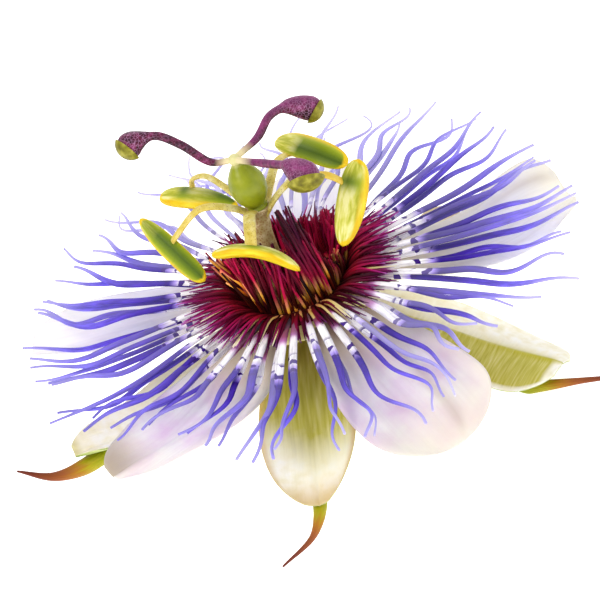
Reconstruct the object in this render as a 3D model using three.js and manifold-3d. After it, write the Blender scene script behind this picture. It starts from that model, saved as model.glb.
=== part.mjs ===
// A passion flower, picked just under its cup and lying face up on a surface.
// Millimetres, +Z up. The front of the flower faces -Y, and azimuths are degrees from the front
// towards +X. The surface lies at height 0 while the pieces are built, under the tips of four sepals.

import * as THREE from 'three';
import { mergeVertices } from 'three/addons/utils/BufferGeometryUtils.js';
import Module from 'manifold-3d';

const wasm = await Module();
wasm.setup();

// ---------------------------------------------------------------- driving dimensions

const CUP_RADIUS = 8.8;               // outside of the cup under the flower
const CUP_RIM_HEIGHT = 17.2;
const CUP_FLOOR_HEIGHT = 13.2;        // floor of the nectar groove
const STALK_RADIUS = 1.8;
const STALK_END_HEIGHT = 2.6;         // the cut stalk stays clear of the surface
const CLEARANCE = 0.3;                // between pieces that touch in the living flower

const BLADE_THICKNESS = 0.7;
const BLADE_ROOT = CUP_RADIUS + CLEARANCE;

const CORONA_HEIGHT = 18;             // plane in which the long filaments spread
const CORONA_REACH = 41;
const OUTER_FILAMENTS = 84;
const MIDDLE_FILAMENTS = 48;
const INNER_FILAMENTS = 46;

const COLUMN_FOOT = new THREE.Vector3(0, 0, 14.5);
const COLUMN_DIP = 0.1;               // the column leans, so one edge of its foot is lower
const CUP_BOSS_HEIGHT = COLUMN_FOOT.z - CLEARANCE - COLUMN_DIP;
const COLUMN_TOP = new THREE.Vector3(-0.95, 0, 32.6);
const OVARY_RADIUS = 2.65;
const OVARY_LENGTH = 8.8;
const ANTHER_HALF_WIDTH = 1.9;
const ANTHER_HALF_DEPTH = 0.9;
const STYLE_RADIUS = 0.55;
const STYLE_SWELLING = 0.95;          // how much thicker a style is under its stigma
const STIGMA_RADIUS = 1.75;
const STIGMA_HALF_HEIGHT = 0.8;

// ---------------------------------------------------------------- helpers

const UP = new THREE.Vector3(0, 0, 1);

/** Seeded random number between 0 and 1 for item n of a series. */
function random(n, series) {
	const wave = Math.sin(n * 12.9898 + series * 78.233) * 43758.5453;
	return wave - Math.floor(wave);
}

/** Seeded random number between -1 and 1. */
function jitter(n, series) {
	return 2 * random(n, series) - 1;
}

/** Smooth bump of a given height, centred at a place and falling off over a spread. */
function bump(x, { at, spread, by }) {
	return by * Math.exp(-(((x - at) / spread) ** 2));
}

/** Point at a radius, an azimuth and a height. */
function polar(radius, azimuth, height) {
	const angle = THREE.MathUtils.degToRad(azimuth);
	return new THREE.Vector3(radius * Math.sin(angle), -radius * Math.cos(angle), height);
}

/** Smooth open curve through points. */
function smoothCurve(points) {
	return new THREE.CatmullRomCurve3(points, false, 'centripetal');
}

/** Smooth open curve through points given as [radius, azimuth, height]. */
function polarCurve(points) {
	return smoothCurve(points.map((point) => polar(...point)));
}

/** Smooth open curve through points given as [x, y, z]. */
function pathCurve(points) {
	return smoothCurve(points.map((point) => new THREE.Vector3(...point)));
}

/** Level direction to the right of the way from a curve's start to its end, seen from above. */
function rightOf(curve) {
	const way = curve.getPoint(1).sub(curve.getPoint(0));
	return new THREE.Vector3(way.y, -way.x, 0).normalize();
}

/** Closed geometry whose shared vertices are merged, so only positions are left. */
function welded(geometry) {
	geometry.deleteAttribute('normal');
	geometry.deleteAttribute('uv');
	return mergeVertices(geometry, 1e-4);
}

/** Side and lift directions of a curve at t, turned by roll radians about the curve. */
function crossFrame(curve, t, across, roll = 0) {
	const tangent = curve.getTangent(t);
	const lift = new THREE.Vector3().crossVectors(across, tangent).normalize();
	const side = new THREE.Vector3().crossVectors(tangent, lift).normalize();
	return {
		side: side.applyAxisAngle(tangent, roll),
		lift: lift.applyAxisAngle(tangent, roll),
	};
}

/** Solid along a curve: an oval section of so many sides, with half its width and depth given by t. */
function bentRod({ curve, across = rightOf(curve), halfWidth, halfDepth, sides, steps }) {
	const geometry = new THREE.CylinderGeometry(1, 1, 1, sides, steps);
	const position = geometry.attributes.position;
	for (let i = 0; i < position.count; i += 1) {
		const t = position.getY(i) + 0.5;
		const { side, lift } = crossFrame(curve, t, across);
		const point = curve.getPoint(t);
		point.addScaledVector(side, -position.getX(i) * halfWidth(t));
		point.addScaledVector(lift, -position.getZ(i) * halfDepth(t));
		position.setXYZ(i, point.x, point.y, point.z);
	}
	return welded(geometry);
}

/** Thin blade: a sheet of points surface(u, v), with u from 0 to 1 along it and v from -1 to 1 across. */
function blade(surface) {
	const steps = 10;
	const columns = 4;
	const half = BLADE_THICKNESS / 2;
	const sheet = new THREE.PlaneGeometry(2, 1, columns, steps);
	const parameters = sheet.attributes.position;
	const upper = [];
	const lower = [];
	for (let i = 0; i < parameters.count; i += 1) {
		const u = 0.5 - parameters.getY(i);
		const { point, lift } = surface(u, -parameters.getX(i));
		upper.push(...point.clone().addScaledVector(lift, half));
		lower.push(...point.clone().addScaledVector(lift, -half));
	}
	const count = parameters.count;
	const faces = Array.from(sheet.index.array);
	const triangles = [];
	for (let i = 0; i < faces.length; i += 3) {
		const [a, b, c] = faces.slice(i, i + 3);
		triangles.push(a, b, c, c + count, b + count, a + count);
	}
	const row = columns + 1;
	const rim = [];
	for (let i = 0; i < columns; i += 1) rim.push(i);
	for (let j = 0; j < steps; j += 1) rim.push(columns + j * row);
	for (let i = columns; i > 0; i -= 1) rim.push(steps * row + i);
	for (let j = steps; j > 0; j -= 1) rim.push(j * row);
	rim.forEach((a, i) => {
		const b = rim[(i + 1) % rim.length];
		triangles.push(a, b, b + count, a, b + count, a + count);
	});
	const geometry = new THREE.BufferGeometry();
	geometry.setAttribute('position', new THREE.Float32BufferAttribute([...upper, ...lower], 3));
	geometry.setIndex(triangles);
	return geometry;
}

/** Manifold solid of a closed geometry. */
function toSolid(geometry) {
	const vertProperties = Float32Array.from(geometry.attributes.position.array);
	const triVerts = Uint32Array.from(geometry.index.array);
	return new wasm.Manifold(new wasm.Mesh({ numProp: 3, vertProperties, triVerts }));
}

/** One geometry of several closed ones that overlap. */
function fused(geometries) {
	const solid = wasm.Manifold.union(geometries.map(toSolid));
	const mesh = solid.getMesh();
	const geometry = new THREE.BufferGeometry();
	geometry.setAttribute('position', new THREE.BufferAttribute(mesh.vertProperties, 3));
	geometry.setIndex(new THREE.BufferAttribute(mesh.triVerts, 1));
	return geometry;
}

/** Solid of revolution about +Z of a profile of [radius, height] points. */
function lathe(profile, segments) {
	const points = profile.map((point) => new THREE.Vector2(...point));
	const geometry = new THREE.LatheGeometry(points, segments);
	geometry.rotateX(Math.PI / 2);
	return welded(geometry);
}

/** Geometry built along +Z from the origin, leant and moved so that it runs from one point to another. */
function stoodAlong(geometry, from, to) {
	const direction = to.clone().sub(from).normalize();
	const turn = new THREE.Quaternion().setFromUnitVectors(UP, direction);
	return geometry.applyQuaternion(turn).translate(from.x, from.y, from.z);
}

const flower = new THREE.Group();

/** Adds one named piece with its own material. */
function addPiece(name, geometry, color, roughness) {
	const material = new THREE.MeshStandardMaterial({ color, roughness, metalness: 0 });
	const mesh = new THREE.Mesh(geometry, material);
	mesh.name = name;
	flower.add(mesh);
}

// ---------------------------------------------------------------- receptacle

// The stalk's cut end widens into a shallow cup, whose groove holds the nectar.
function receptacle() {
	return lathe([
		[0, STALK_END_HEIGHT],
		[STALK_RADIUS, STALK_END_HEIGHT],
		[STALK_RADIUS, 6],
		[3.2, 8.4],
		[6.6, 10.6],
		[CUP_RADIUS - 0.4, 13],
		[CUP_RADIUS, CUP_RIM_HEIGHT],
		[6.6, CUP_RIM_HEIGHT],
		[6.1, CUP_FLOOR_HEIGHT + 0.8],
		[5, CUP_FLOOR_HEIGHT],
		[3, CUP_FLOOR_HEIGHT],
		[2.3, CUP_BOSS_HEIGHT],
		[0, CUP_BOSS_HEIGHT],
	], 24);
}

addPiece('receptacle', receptacle(), 0xb9c47a, 0.6);

// ---------------------------------------------------------------- sepals and petals

/** Half the width of a blade that widens from its root to u = widest and rounds off to its tip. */
function bladeHalfWidth(u, { rootHalfWidth, halfWidth, widest, bluntness }) {
	if (u < widest) {
		return rootHalfWidth + (halfWidth - rootHalfWidth) * Math.sin((Math.PI / 2) * (u / widest));
	}
	const past = (u - widest) / (1 - widest);
	return halfWidth * Math.sqrt(Math.max(0, 1 - past ** bluntness));
}

const BLADE_END = 0.985;              // the last row stays just wide enough for a closed edge

/** Point and normal of a cupped, rolled blade, which starts beside the cup at its root's azimuth. */
function bladeSurface(shape) {
	const curve = polarCurve([[BLADE_ROOT, shape.azimuth, shape.rootHeight], ...shape.spine]);
	const across = rightOf(curve);
	return (u, v) => {
		const along = u * BLADE_END;
		const roll = THREE.MathUtils.degToRad(shape.roll * along);
		const { side, lift } = crossFrame(curve, along, across, roll);
		const half = bladeHalfWidth(along, shape);
		const hood = THREE.MathUtils.smoothstep(along, shape.hoodStart, 1) * shape.hood;
		const trough = THREE.MathUtils.smoothstep(along, 0.25, 0.8) * shape.cup;
		const rise = half * v * v * (trough + hood)
			+ half * v * shape.wave * Math.sin(Math.PI * (2.2 * along + 0.3 * v));
		const point = curve.getPoint(along).addScaledVector(side, half * v).addScaledVector(lift, rise);
		return { point, lift };
	};
}

// Sepals are the lower five: thick, cupped, hooded at the tip, with a horn-like awn under the tip.
const SEPAL = {
	rootHeight: 14.3, rootHalfWidth: 4.4, halfWidth: 6.6, widest: 0.5, bluntness: 2.4,
	cup: 0.32, hood: 0.3, hoodStart: 0.7, roll: 0, wave: 0,
};
const SEPALS = [
	{
		...SEPAL, halfWidth: 6.4,
		azimuth: -14, spine: [[18, -14, 13.2], [29, -13.6, 11.2], [38.2, -13.2, 7.4]],
		awn: [[35.6, -13.4, 7.6], [38.6, -14, 5.9], [39.6, -16, 3.8], [40.6, -23.6, 0.3]],
	},
	{
		...SEPAL, halfWidth: 7, cup: -0.24, hood: 0, roll: -24,
		azimuth: 58, spine: [[18, 58, 11], [26.5, 57, 7.2], [33, 56, 4.15], [39, 54.6, 2.5]],
		awn: [[34.5, 55.5, 2.6], [38.5, 55, 1.2], [43, 54.6, 0.66], [49.5, 53.5, 1.6]],
	},
	{
		...SEPAL,
		azimuth: 130, spine: [[18, 130, 10.5], [29, 131, 2.1], [39, 132, 2.7]],
		awn: [[35, 132, 1.55], [38.5, 132, 1.15], [43, 132, 2.4], [48, 133, 4.6]],
	},
	{
		...SEPAL,
		azimuth: -158, spine: [[18, -158, 10.5], [29, -157, 2.1], [39, -156, 2.7]],
		awn: [[35, -156, 1.55], [38.5, -156, 1.15], [43, -156, 2.4], [48, -155, 4.6]],
	},
	{
		...SEPAL,
		azimuth: -86, spine: [[18, -85, 12.6], [29, -82, 10.4], [39.6, -80, 9.3]],
		awn: [[36, -80, 9], [40, -80, 7.4], [44.5, -80, 7.6], [48.6, -81, 11.4]],
	},
];

/** One sepal with its awn, which springs from the keel under the tip. */
function sepal(shape) {
	const awn = bentRod({
		curve: polarCurve(shape.awn),
		halfWidth: (t) => 1.25 - 0.95 * t ** 0.6,
		halfDepth: (t) => 1.5 - 1.2 * t ** 0.6,
		sides: 6,
		steps: 7,
	});
	return fused([blade(bladeSurface(shape)), awn]);
}

SEPALS.forEach((shape, i) => addPiece(`sepal_${i + 1}`, sepal(shape), 0xdfe0a8, 0.55));

// Petals are the upper five: thinner and wider, with a narrow claw and a round, wavy end.
const PETAL = {
	rootHeight: 16.1, rootHalfWidth: 3.4, halfWidth: 8.2, widest: 0.62, bluntness: 2.6,
	cup: 0.16, hood: 0.1, hoodStart: 0.6, roll: 0, wave: 0.06,
};
const PETALS = [
	{ ...PETAL, azimuth: 22, spine: [[18, 22, 15.3], [30, 21, 12.3], [40.2, 20, 8.8]] },
	{ ...PETAL, azimuth: 94, spine: [[18, 94.5, 15], [30, 98, 13.4], [43.5, 103.5, 13.3]] },
	{ ...PETAL, azimuth: 166, spine: [[18, 166, 15], [30, 166, 12.6], [42, 166, 11]] },
	{ ...PETAL, azimuth: -122, spine: [[18, -121, 15.2], [30, -118, 13.8], [45.4, -114, 13.8]] },
	{
		...PETAL, halfWidth: 8, roll: 6,
		azimuth: -50, spine: [[18, -51, 15], [29, -55, 13.4], [38.8, -59, 14]],
	},
];

PETALS.forEach((shape, i) => addPiece(`petal_${i + 1}`, blade(bladeSurface(shape)), 0xf1edf4, 0.5));

// ---------------------------------------------------------------- corona

/** Flat ring of rectangular section that the roots of a series stand in. */
function ring(innerRadius, outerRadius, bottom, top) {
	return lathe([
		[innerRadius, bottom],
		[outerRadius, bottom],
		[outerRadius, top],
		[innerRadius, top],
		[innerRadius, bottom],
	], 32);
}

/** One thread-like filament of three sides. */
function filament(points, halfWidth, steps) {
	return bentRod({
		curve: smoothCurve(points),
		halfWidth,
		halfDepth: () => FILAMENT_HALF_DEPTH,
		sides: 3,
		steps,
	});
}

const RING_BOTTOM = CUP_RIM_HEIGHT + CLEARANCE;
const OUTER_RING = [7.9, 9.4];        // inner and outer radius
const INNER_RING = [6.2, 7.5];
const RING_TOP = 18.8;
const CORONA_TILT = 1.2;              // rise of the long filaments' tips on the high side
const HIGH_SIDE = -155;
const TALL_SIDE = 60;                 // azimuth on which the innermost filaments are tallest
const SHORT_SIDES = [{ at: -42, spread: 24, by: 7 }, { at: 36, spread: 12, by: 8 }];
const FILAMENT_HALF_DEPTH = 0.36;
const LONG_HALF_WIDTH = 0.4;
const LONG_BULGE = { at: 0.66, spread: 0.17, by: 0.34 };
const LONG_TAPER = 0.12;

/** Long filaments, in two rows one over the other, wavy towards their tips. */
function outerFilament(i) {
	const upperRow = i % 2;
	const azimuth = (i + 0.5) * 360 / OUTER_FILAMENTS - 180 + 1.1 * jitter(i, 1);
	const shortened = SHORT_SIDES.reduce((sum, side) => sum + bump(azimuth, side), 0);
	const reach = CORONA_REACH - shortened + 2.2 * jitter(i, 2);
	const rootHeight = upperRow ? 18.5 : 17.95;
	const tilt = CORONA_TILT * Math.cos(THREE.MathUtils.degToRad(azimuth - HIGH_SIDE));
	const droop = (upperRow ? 1 : -0.5) + 0.6 * jitter(i, 3) + tilt;
	const sway = 2.2 * jitter(i, 4);
	const points = [
		polar(8.6, azimuth, rootHeight),
		polar(15, azimuth, rootHeight + (upperRow ? 0.9 : 0.1)),
		polar(0.62 * reach, azimuth + 0.4 * sway, CORONA_HEIGHT + 0.3 + 0.8 * droop),
		polar(0.82 * reach, azimuth + 0.2 * sway, CORONA_HEIGHT + 0.4 + droop),
		polar(reach, azimuth + 1.6 * sway, CORONA_HEIGHT + 1.4 * droop),
	];
	return filament(points, (t) => LONG_HALF_WIDTH + bump(t, LONG_BULGE) - LONG_TAPER * t ** 4, 6);
}

/** Shorter dark filaments that fill the middle between the long ones. */
function middleFilament(i) {
	const azimuth = (i + 0.25) * 360 / MIDDLE_FILAMENTS + 1.5 * jitter(i, 5);
	const reach = 17.5 + 1.8 * jitter(i, 6);
	const lift = 3 + 1.2 * jitter(i, 7);
	const points = [
		polar(8.3, azimuth, RING_TOP - 0.3),
		polar(11.5, azimuth, RING_TOP + 0.6 * lift),
		polar(reach, azimuth + 2 * jitter(i, 8), RING_TOP + lift),
	];
	return filament(points, (t) => 0.42 - 0.14 * t, 3);
}

/** Upright innermost filaments, taller on one side, which lean in round the column. */
function innerFilament(i) {
	const azimuth = (i + 0.5) * 360 / INNER_FILAMENTS + 2 * jitter(i, 9);
	const tall = Math.cos(THREE.MathUtils.degToRad(azimuth - TALL_SIDE));
	const height = 10 + 2.6 * tall + 1.2 * jitter(i, 10);
	const points = [
		polar(6.9, azimuth, RING_TOP - 0.6),
		polar(6.9, azimuth, RING_TOP + 0.4 * height),
		polar(5.4 + 0.5 * jitter(i, 11), azimuth + 3 * jitter(i, 12), RING_TOP + height),
	];
	return filament(points, (t) => 0.4 - 0.12 * t, 3);
}

const outerCorona = fused([
	ring(...OUTER_RING, RING_BOTTOM, RING_TOP),
	...Array.from({ length: OUTER_FILAMENTS }, (_, i) => outerFilament(i)),
	...Array.from({ length: MIDDLE_FILAMENTS }, (_, i) => middleFilament(i)),
]);
addPiece('corona_outer', outerCorona, 0x5a3fb0, 0.5);

const innerCorona = fused([
	ring(...INNER_RING, RING_BOTTOM, RING_TOP - 0.3),
	...Array.from({ length: INNER_FILAMENTS }, (_, i) => innerFilament(i)),
]);
addPiece('corona_inner', innerCorona, 0x7a0a3c, 0.5);

// ---------------------------------------------------------------- operculum

// The lid over the nectar groove: a thin sloping collar inside the innermost filaments.
const operculum = lathe([
	[5.7, 15.4], [5.9, 16], [3.4, 18.4], [2.9, 18], [5.7, 15.4],
], 24);
addPiece('operculum', operculum, 0xc9b46a, 0.6);

// ---------------------------------------------------------------- column, stamens and anthers

// Each stamen: its filament's path out of the column's upper part, its anther's two ends, the way
// that the anther's face looks and how far the anther bows that way.
const STAMENS = [
	{
		path: [[-1.1, -0.4, 30.6], [-1.9, -3.4, 33.6], [-3.2, -7.8, 35.6], [-3.8, -9.4, 32.8]],
		anther: [[-9.6, -6.3, 32.2], [1.2, -11.9, 27.9]], face: [0.1, 0.45, 0.88], arch: 1.2,
	},
	{
		path: [[-0.4, -0.2, 30.6], [1.9, -1, 33.6], [5.2, -2.5, 36.4], [9.8, -4.5, 36], [11.8, -4.6, 33.6]],
		anther: [[15.6, -0.8, 34.5], [8.9, -8.2, 27.9]], face: [0.25, -0.75, 0.6], arch: 0.5,
	},
	{
		path: [[-0.5, 0.3, 30.6], [1.9, 1.5, 33.3], [4.9, 3.7, 36.6], [8.7, 6.6, 36.3]],
		anther: [[5.4, 12.3, 34.9], [13.3, 2.1, 33.3]], face: [0.3, -0.65, 0.7], arch: 0.9,
	},
	{
		path: [[-1.2, 0.4, 30.6], [-3.4, 3.1, 33.9], [-6.4, 6.8, 36.9], [-8.6, 9.3, 34.7]],
		anther: [[-13.9, 13.2, 33.1], [-3.6, 5.5, 31.2]], face: [-0.2, -0.3, 0.9], arch: 0.9,
	},
	{
		path: [[-1.4, 0, 30.6], [-4.1, 0, 33.7], [-8.7, 0, 36.3], [-13.9, 0, 34]],
		anther: [[-17.4, 4.2, 36.1], [-12, -3.4, 26.9]], face: [-0.3, -0.75, 0.6], arch: 0.4,
	},
];

/** Column that carries the stamens and the ovary, with the stamens' flat filaments grown to its top. */
function androgynophore() {
	const length = COLUMN_TOP.distanceTo(COLUMN_FOOT);
	const profile = [
		[0, 0],
		[2.1, 0],
		[1.75, 2.2],
		[1.35, 6],
		[1.25, 12],
		[1.5, length - 1.6],
		[1.75, length],
		[0, length],
	];
	const filaments = STAMENS.map(({ path }) => bentRod({
		curve: pathCurve(path),
		halfWidth: (t) => 0.95 - 0.45 * t,
		halfDepth: (t) => 0.5 - 0.12 * t,
		sides: 6,
		steps: 7,
	}));
	return fused([stoodAlong(lathe(profile, 16), COLUMN_FOOT, COLUMN_TOP), ...filaments]);
}

addPiece('androgynophore', androgynophore(), 0xd8d08a, 0.6);

/** Anther: a flattened, bowed bar, hung by its middle just under the end of its filament. */
function anther({ anther: ends, face, arch }) {
	const [first, last] = ends.map((point) => new THREE.Vector3(...point));
	const along = last.clone().sub(first).normalize();
	const across = new THREE.Vector3().crossVectors(along, new THREE.Vector3(...face)).normalize();
	const lift = new THREE.Vector3().crossVectors(across, along);
	const middle = first.clone().add(last).multiplyScalar(0.5);
	const curve = new THREE.QuadraticBezierCurve3(first, middle.addScaledVector(lift, 2 * arch), last);
	const round = (t) => Math.sqrt(Math.max(0.03, 1 - (2 * t - 1) ** 4));
	return bentRod({
		curve,
		across,
		halfWidth: (t) => ANTHER_HALF_WIDTH * round(t),
		halfDepth: (t) => ANTHER_HALF_DEPTH * round(t),
		sides: 8,
		steps: 8,
	});
}

STAMENS.forEach((stamen, i) => addPiece(`anther_${i + 1}`, anther(stamen), 0xb9c42c, 0.5));

// ---------------------------------------------------------------- ovary, styles and stigmas

const OVARY_FOOT = COLUMN_TOP.clone().add(new THREE.Vector3(0, 0, CLEARANCE));
const OVARY_TOP = new THREE.Vector3(-1.5, 0, OVARY_FOOT.z + OVARY_LENGTH);

const ovary = stoodAlong(lathe([
	[0, 0],
	[1.05, 0],
	...[0.1, 0.25, 0.4, 0.55, 0.7, 0.83, 0.94].map((t) => [
		OVARY_RADIUS * Math.sin(Math.PI * t) ** 0.6, OVARY_LENGTH * t,
	]),
	[0, OVARY_LENGTH],
], 16), OVARY_FOOT, OVARY_TOP);
addPiece('ovary', ovary, 0xa9b62e, 0.45);

// Each style: its path from the ovary's top to the swollen end, and the way its stigma faces.
const STYLES = [
	[[-2.3, 0.1, 42.1], [-4.8, 0.8, 42], [-7.5, 1.3, 46.1], [-10, 1.8, 48.5], [-13.6, 2.4, 48.2]],
	[[-0.8, 0.5, 42.1], [2.7, 1.9, 42.6], [5.4, 3.8, 44], [8.1, 5.7, 43.8], [11, 7.6, 41]],
	[[-1.1, -0.9, 42.1], [1.7, -3.4, 41.6], [3.6, -7, 42.6], [5.2, -10, 44], [6.1, -11.9, 42.4]],
];

STYLES.forEach((path, i) => {
	const curve = pathCurve(path);
	const swell = (t) => STYLE_RADIUS + STYLE_SWELLING * THREE.MathUtils.smoothstep(t, 0.72, 0.97);
	const style = bentRod({ curve, halfWidth: swell, halfDepth: swell, sides: 8, steps: 14 });
	addPiece(`style_${i + 1}`, style, 0x7a2a66, 0.55);

	const cap = new THREE.SphereGeometry(1, 10, 6);
	cap.scale(STIGMA_RADIUS, STIGMA_RADIUS, STIGMA_HALF_HEIGHT);
	const end = curve.getPoint(1);
	const facing = curve.getTangent(1);
	const centre = end.clone().addScaledVector(facing, STIGMA_HALF_HEIGHT + CLEARANCE);
	const stigma = stoodAlong(welded(cap), centre, centre.clone().add(facing));
	addPiece(`stigma_${i + 1}`, stigma, 0x8a8a2a, 0.6);
});

// ---------------------------------------------------------------- placing

// The origin is at the middle of the flower's footprint, on the surface that it lies on.
const bounds = new THREE.Box3().setFromObject(flower);
const middle = bounds.getCenter(new THREE.Vector3());
flower.position.set(-middle.x, -middle.y, -bounds.min.z);

export default flower;
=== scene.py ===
"""A passion flower, picked just under its cup and lying face up on a white table."""

import math

import bmesh
import bpy
from mathutils import Matrix, Vector, noise


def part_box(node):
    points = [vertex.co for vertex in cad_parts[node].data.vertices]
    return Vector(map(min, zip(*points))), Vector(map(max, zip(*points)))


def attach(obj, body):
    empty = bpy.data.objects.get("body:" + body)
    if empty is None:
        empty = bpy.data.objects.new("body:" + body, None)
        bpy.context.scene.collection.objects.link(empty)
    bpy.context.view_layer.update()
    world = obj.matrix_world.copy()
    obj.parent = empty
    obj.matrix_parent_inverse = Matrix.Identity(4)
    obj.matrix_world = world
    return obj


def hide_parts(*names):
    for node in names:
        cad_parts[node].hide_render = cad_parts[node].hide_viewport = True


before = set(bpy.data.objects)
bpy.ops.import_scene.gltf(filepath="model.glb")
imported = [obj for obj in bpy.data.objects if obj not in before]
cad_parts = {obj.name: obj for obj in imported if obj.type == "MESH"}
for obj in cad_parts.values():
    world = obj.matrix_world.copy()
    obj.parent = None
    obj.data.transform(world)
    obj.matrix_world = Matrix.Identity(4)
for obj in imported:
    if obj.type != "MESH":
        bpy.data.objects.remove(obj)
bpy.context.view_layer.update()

# ---------------------------------------------------------------- camera, table and lamps
# The flower is built in millimetres on its own axes: +Z up its column, its front towards -Y, and
# azimuths in degrees from the front towards +X. One transform takes it to the frame.

STALK_END_HEIGHT = 2.6
cup_low, cup_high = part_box("receptacle")
flower_foot = (cup_low + cup_high) / 2
flower_foot.z = cup_low.z - STALK_END_HEIGHT / 1000
TO_FRAME = Matrix.Translation(flower_foot) @ Matrix.Scale(0.001, 4)

IMAGE_SIDE = 600                 # pixels
AIM_PIXEL = (297, 286)           # where the aimed point lies in the image
AIM_HEIGHT = 18
CAMERA_DISTANCE = 340
CAMERA_ELEVATION = math.radians(33)
CAMERA_LEAN = math.radians(22)   # the flower's column leans to the left of upright in the image
PIXELS_PER_MM = 6.8

aim = TO_FRAME @ Vector((0, 0, AIM_HEIGHT))
backward = Vector((0, -math.cos(CAMERA_ELEVATION), math.sin(CAMERA_ELEVATION)))
level_right = Vector((1, 0, 0))
column_up = backward.cross(level_right)
camera_right = level_right * math.cos(CAMERA_LEAN) - column_up * math.sin(CAMERA_LEAN)
camera_up = level_right * math.sin(CAMERA_LEAN) + column_up * math.cos(CAMERA_LEAN)

camera = bpy.data.objects.new("camera", bpy.data.cameras.new("camera"))
camera.data.sensor_width = 36
camera.data.lens = camera.data.sensor_width * PIXELS_PER_MM * CAMERA_DISTANCE / IMAGE_SIDE
camera.data.shift_x = 0.5 - AIM_PIXEL[0] / IMAGE_SIDE
camera.data.shift_y = AIM_PIXEL[1] / IMAGE_SIDE - 0.5
camera.matrix_world = Matrix.Translation(aim + backward * CAMERA_DISTANCE / 1000) @ Matrix((
    (camera_right.x, camera_up.x, backward.x, 0),
    (camera_right.y, camera_up.y, backward.y, 0),
    (camera_right.z, camera_up.z, backward.z, 0),
    (0, 0, 0, 1),
))
bpy.context.scene.collection.objects.link(camera)
bpy.context.scene.camera = camera
bpy.context.scene.view_settings.view_transform = "Standard"


def colour(hex_code):
    """Linear colour with full alpha of an sRGB hex code such as "#f2ecf4"."""
    channels = [int(hex_code[i:i + 2], 16) / 255 for i in (1, 3, 5)]
    return [c / 12.92 if c <= 0.04045 else ((c + 0.055) / 1.055) ** 2.4 for c in channels] + [1]


def connect(node, inputs):
    """Sets inputs of a node. A socket or a node is linked, the node by its first output in use."""
    for name, value in inputs.items():
        if isinstance(value, bpy.types.Node):
            value = next(output for output in value.outputs if output.enabled)
        if isinstance(value, bpy.types.NodeSocket):
            node.id_data.links.new(value, node.inputs[name])
        else:
            node.inputs[name].default_value = value


def add_node(tree, kind, inputs, stops=(), **settings):
    """Adds one node with these settings and inputs and, on a colour ramp, these stops."""
    node = tree.nodes.new("ShaderNode" + kind)
    for name, value in settings.items():
        setattr(node, name, value)
    connect(node, inputs)
    if stops:
        ends = node.color_ramp.elements
        ends[0].position, ends[0].color = stops[0][0], colour(stops[0][1])
        ends[-1].position, ends[-1].color = stops[-1][0], colour(stops[-1][1])
        for place, shade in stops[1:-1]:
            ends.new(place).color = colour(shade)
    return node


def new_surface(name, constants):
    """Principled material with these constant values. Returns it, its node tree and its shader."""
    material = bpy.data.materials.new(name)
    material.use_nodes = True
    shader = material.node_tree.nodes["Principled BSDF"]
    connect(shader, constants)
    return material, material.node_tree, shader


ROOM_BRIGHTNESS = 0.56
TABLE_GLOW = 0.93                # the table is lit from below, as a light table is
TABLE_SIDE = 3.0                 # metres

world = bpy.data.worlds.new("white room")
world.use_nodes = True
connect(world.node_tree.nodes["Background"], {
    "Color": colour("#ffffff"), "Strength": ROOM_BRIGHTNESS,
})
bpy.context.scene.world = world

# Table top: sanded opal acrylic over a light box, an even white glow without shine.
table_finish, _, _ = new_surface("opal_acrylic_table", {
    "Base Color": colour("#f4f4f4"), "Roughness": 0.6,
    "Emission Color": colour("#ffffff"), "Emission Strength": TABLE_GLOW,
})
bm = bmesh.new()
bmesh.ops.create_grid(bm, x_segments=1, y_segments=1, size=TABLE_SIDE / 2)
mesh = bpy.data.meshes.new("table")
bm.to_mesh(mesh)
bm.free()
mesh.materials.append(table_finish)
table = bpy.data.objects.new("table", mesh)
bpy.context.scene.collection.objects.link(table)

# Lamp name: place in millimetres, side in metres, watts and colour.
LAMPS = {
    "key": ((-260, -220, 420), 0.30, 1.35, "#fffdf8"),
    "fill": ((380, -260, 260), 0.45, 0.6, "#fbfbff"),
    "back": ((60, 380, 340), 0.40, 0.7, "#ffffff"),
}
for name, (place, side, watts, tint) in LAMPS.items():
    lamp = bpy.data.objects.new(name, bpy.data.lights.new(name, "AREA"))
    lamp.data.size = side
    lamp.data.energy = watts
    lamp.data.color = colour(tint)[:3]
    lamp.location = TO_FRAME @ Vector(place)
    lamp.rotation_euler = (lamp.location - aim).to_track_quat("Z", "Y").to_euler()
    bpy.context.scene.collection.objects.link(lamp)

# ---------------------------------------------------------------- cup and stalk
# The receptacle: the green stalk, cut across just under the flower, widens into a shallow cup
# that all the other parts grow from. Firm, slightly ribbed tissue with a dull waxy skin.

CUP_RADIUS = 8.8
CUP_RIM_HEIGHT = 17.2
CUP_FLOOR_HEIGHT = 13.2
STALK_RADIUS = 1.8
NEAR_AXIS = 0.01
CUP_PROFILE = [                  # radius, height
    (NEAR_AXIS, STALK_END_HEIGHT),
    (STALK_RADIUS - 0.1, STALK_END_HEIGHT),
    (STALK_RADIUS, STALK_END_HEIGHT + 0.15),
    (STALK_RADIUS, 5.6),
    (2.1, 7.3),
    (3.4, 8.6),
    (5.2, 9.7),
    (6.9, 10.9),
    (CUP_RADIUS - 0.5, 12.8),
    (CUP_RADIUS, 15.2),
    (CUP_RADIUS, CUP_RIM_HEIGHT - 0.3),
    (CUP_RADIUS - 0.4, CUP_RIM_HEIGHT),
    (6.8, CUP_RIM_HEIGHT),
    (6.4, CUP_RIM_HEIGHT - 0.5),
    (6.1, CUP_FLOOR_HEIGHT + 0.8),
    (5, CUP_FLOOR_HEIGHT),
    (3, CUP_FLOOR_HEIGHT),
    (2.3, 14.1),
    (NEAR_AXIS, 14.1),
]
CUP_RIBS = 15
CUP_RIB_DEPTH = 0.02             # share of the radius
RIM_TINT_HEIGHTS = (12.5, 15.5)  # where the creamy rim starts and is full


def smoothstep(low, high, x):
    """0 below low, 1 above high and smooth between them."""
    s = min(max((x - low) / (high - low), 0), 1)
    return s * s * (3 - 2 * s)


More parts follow.
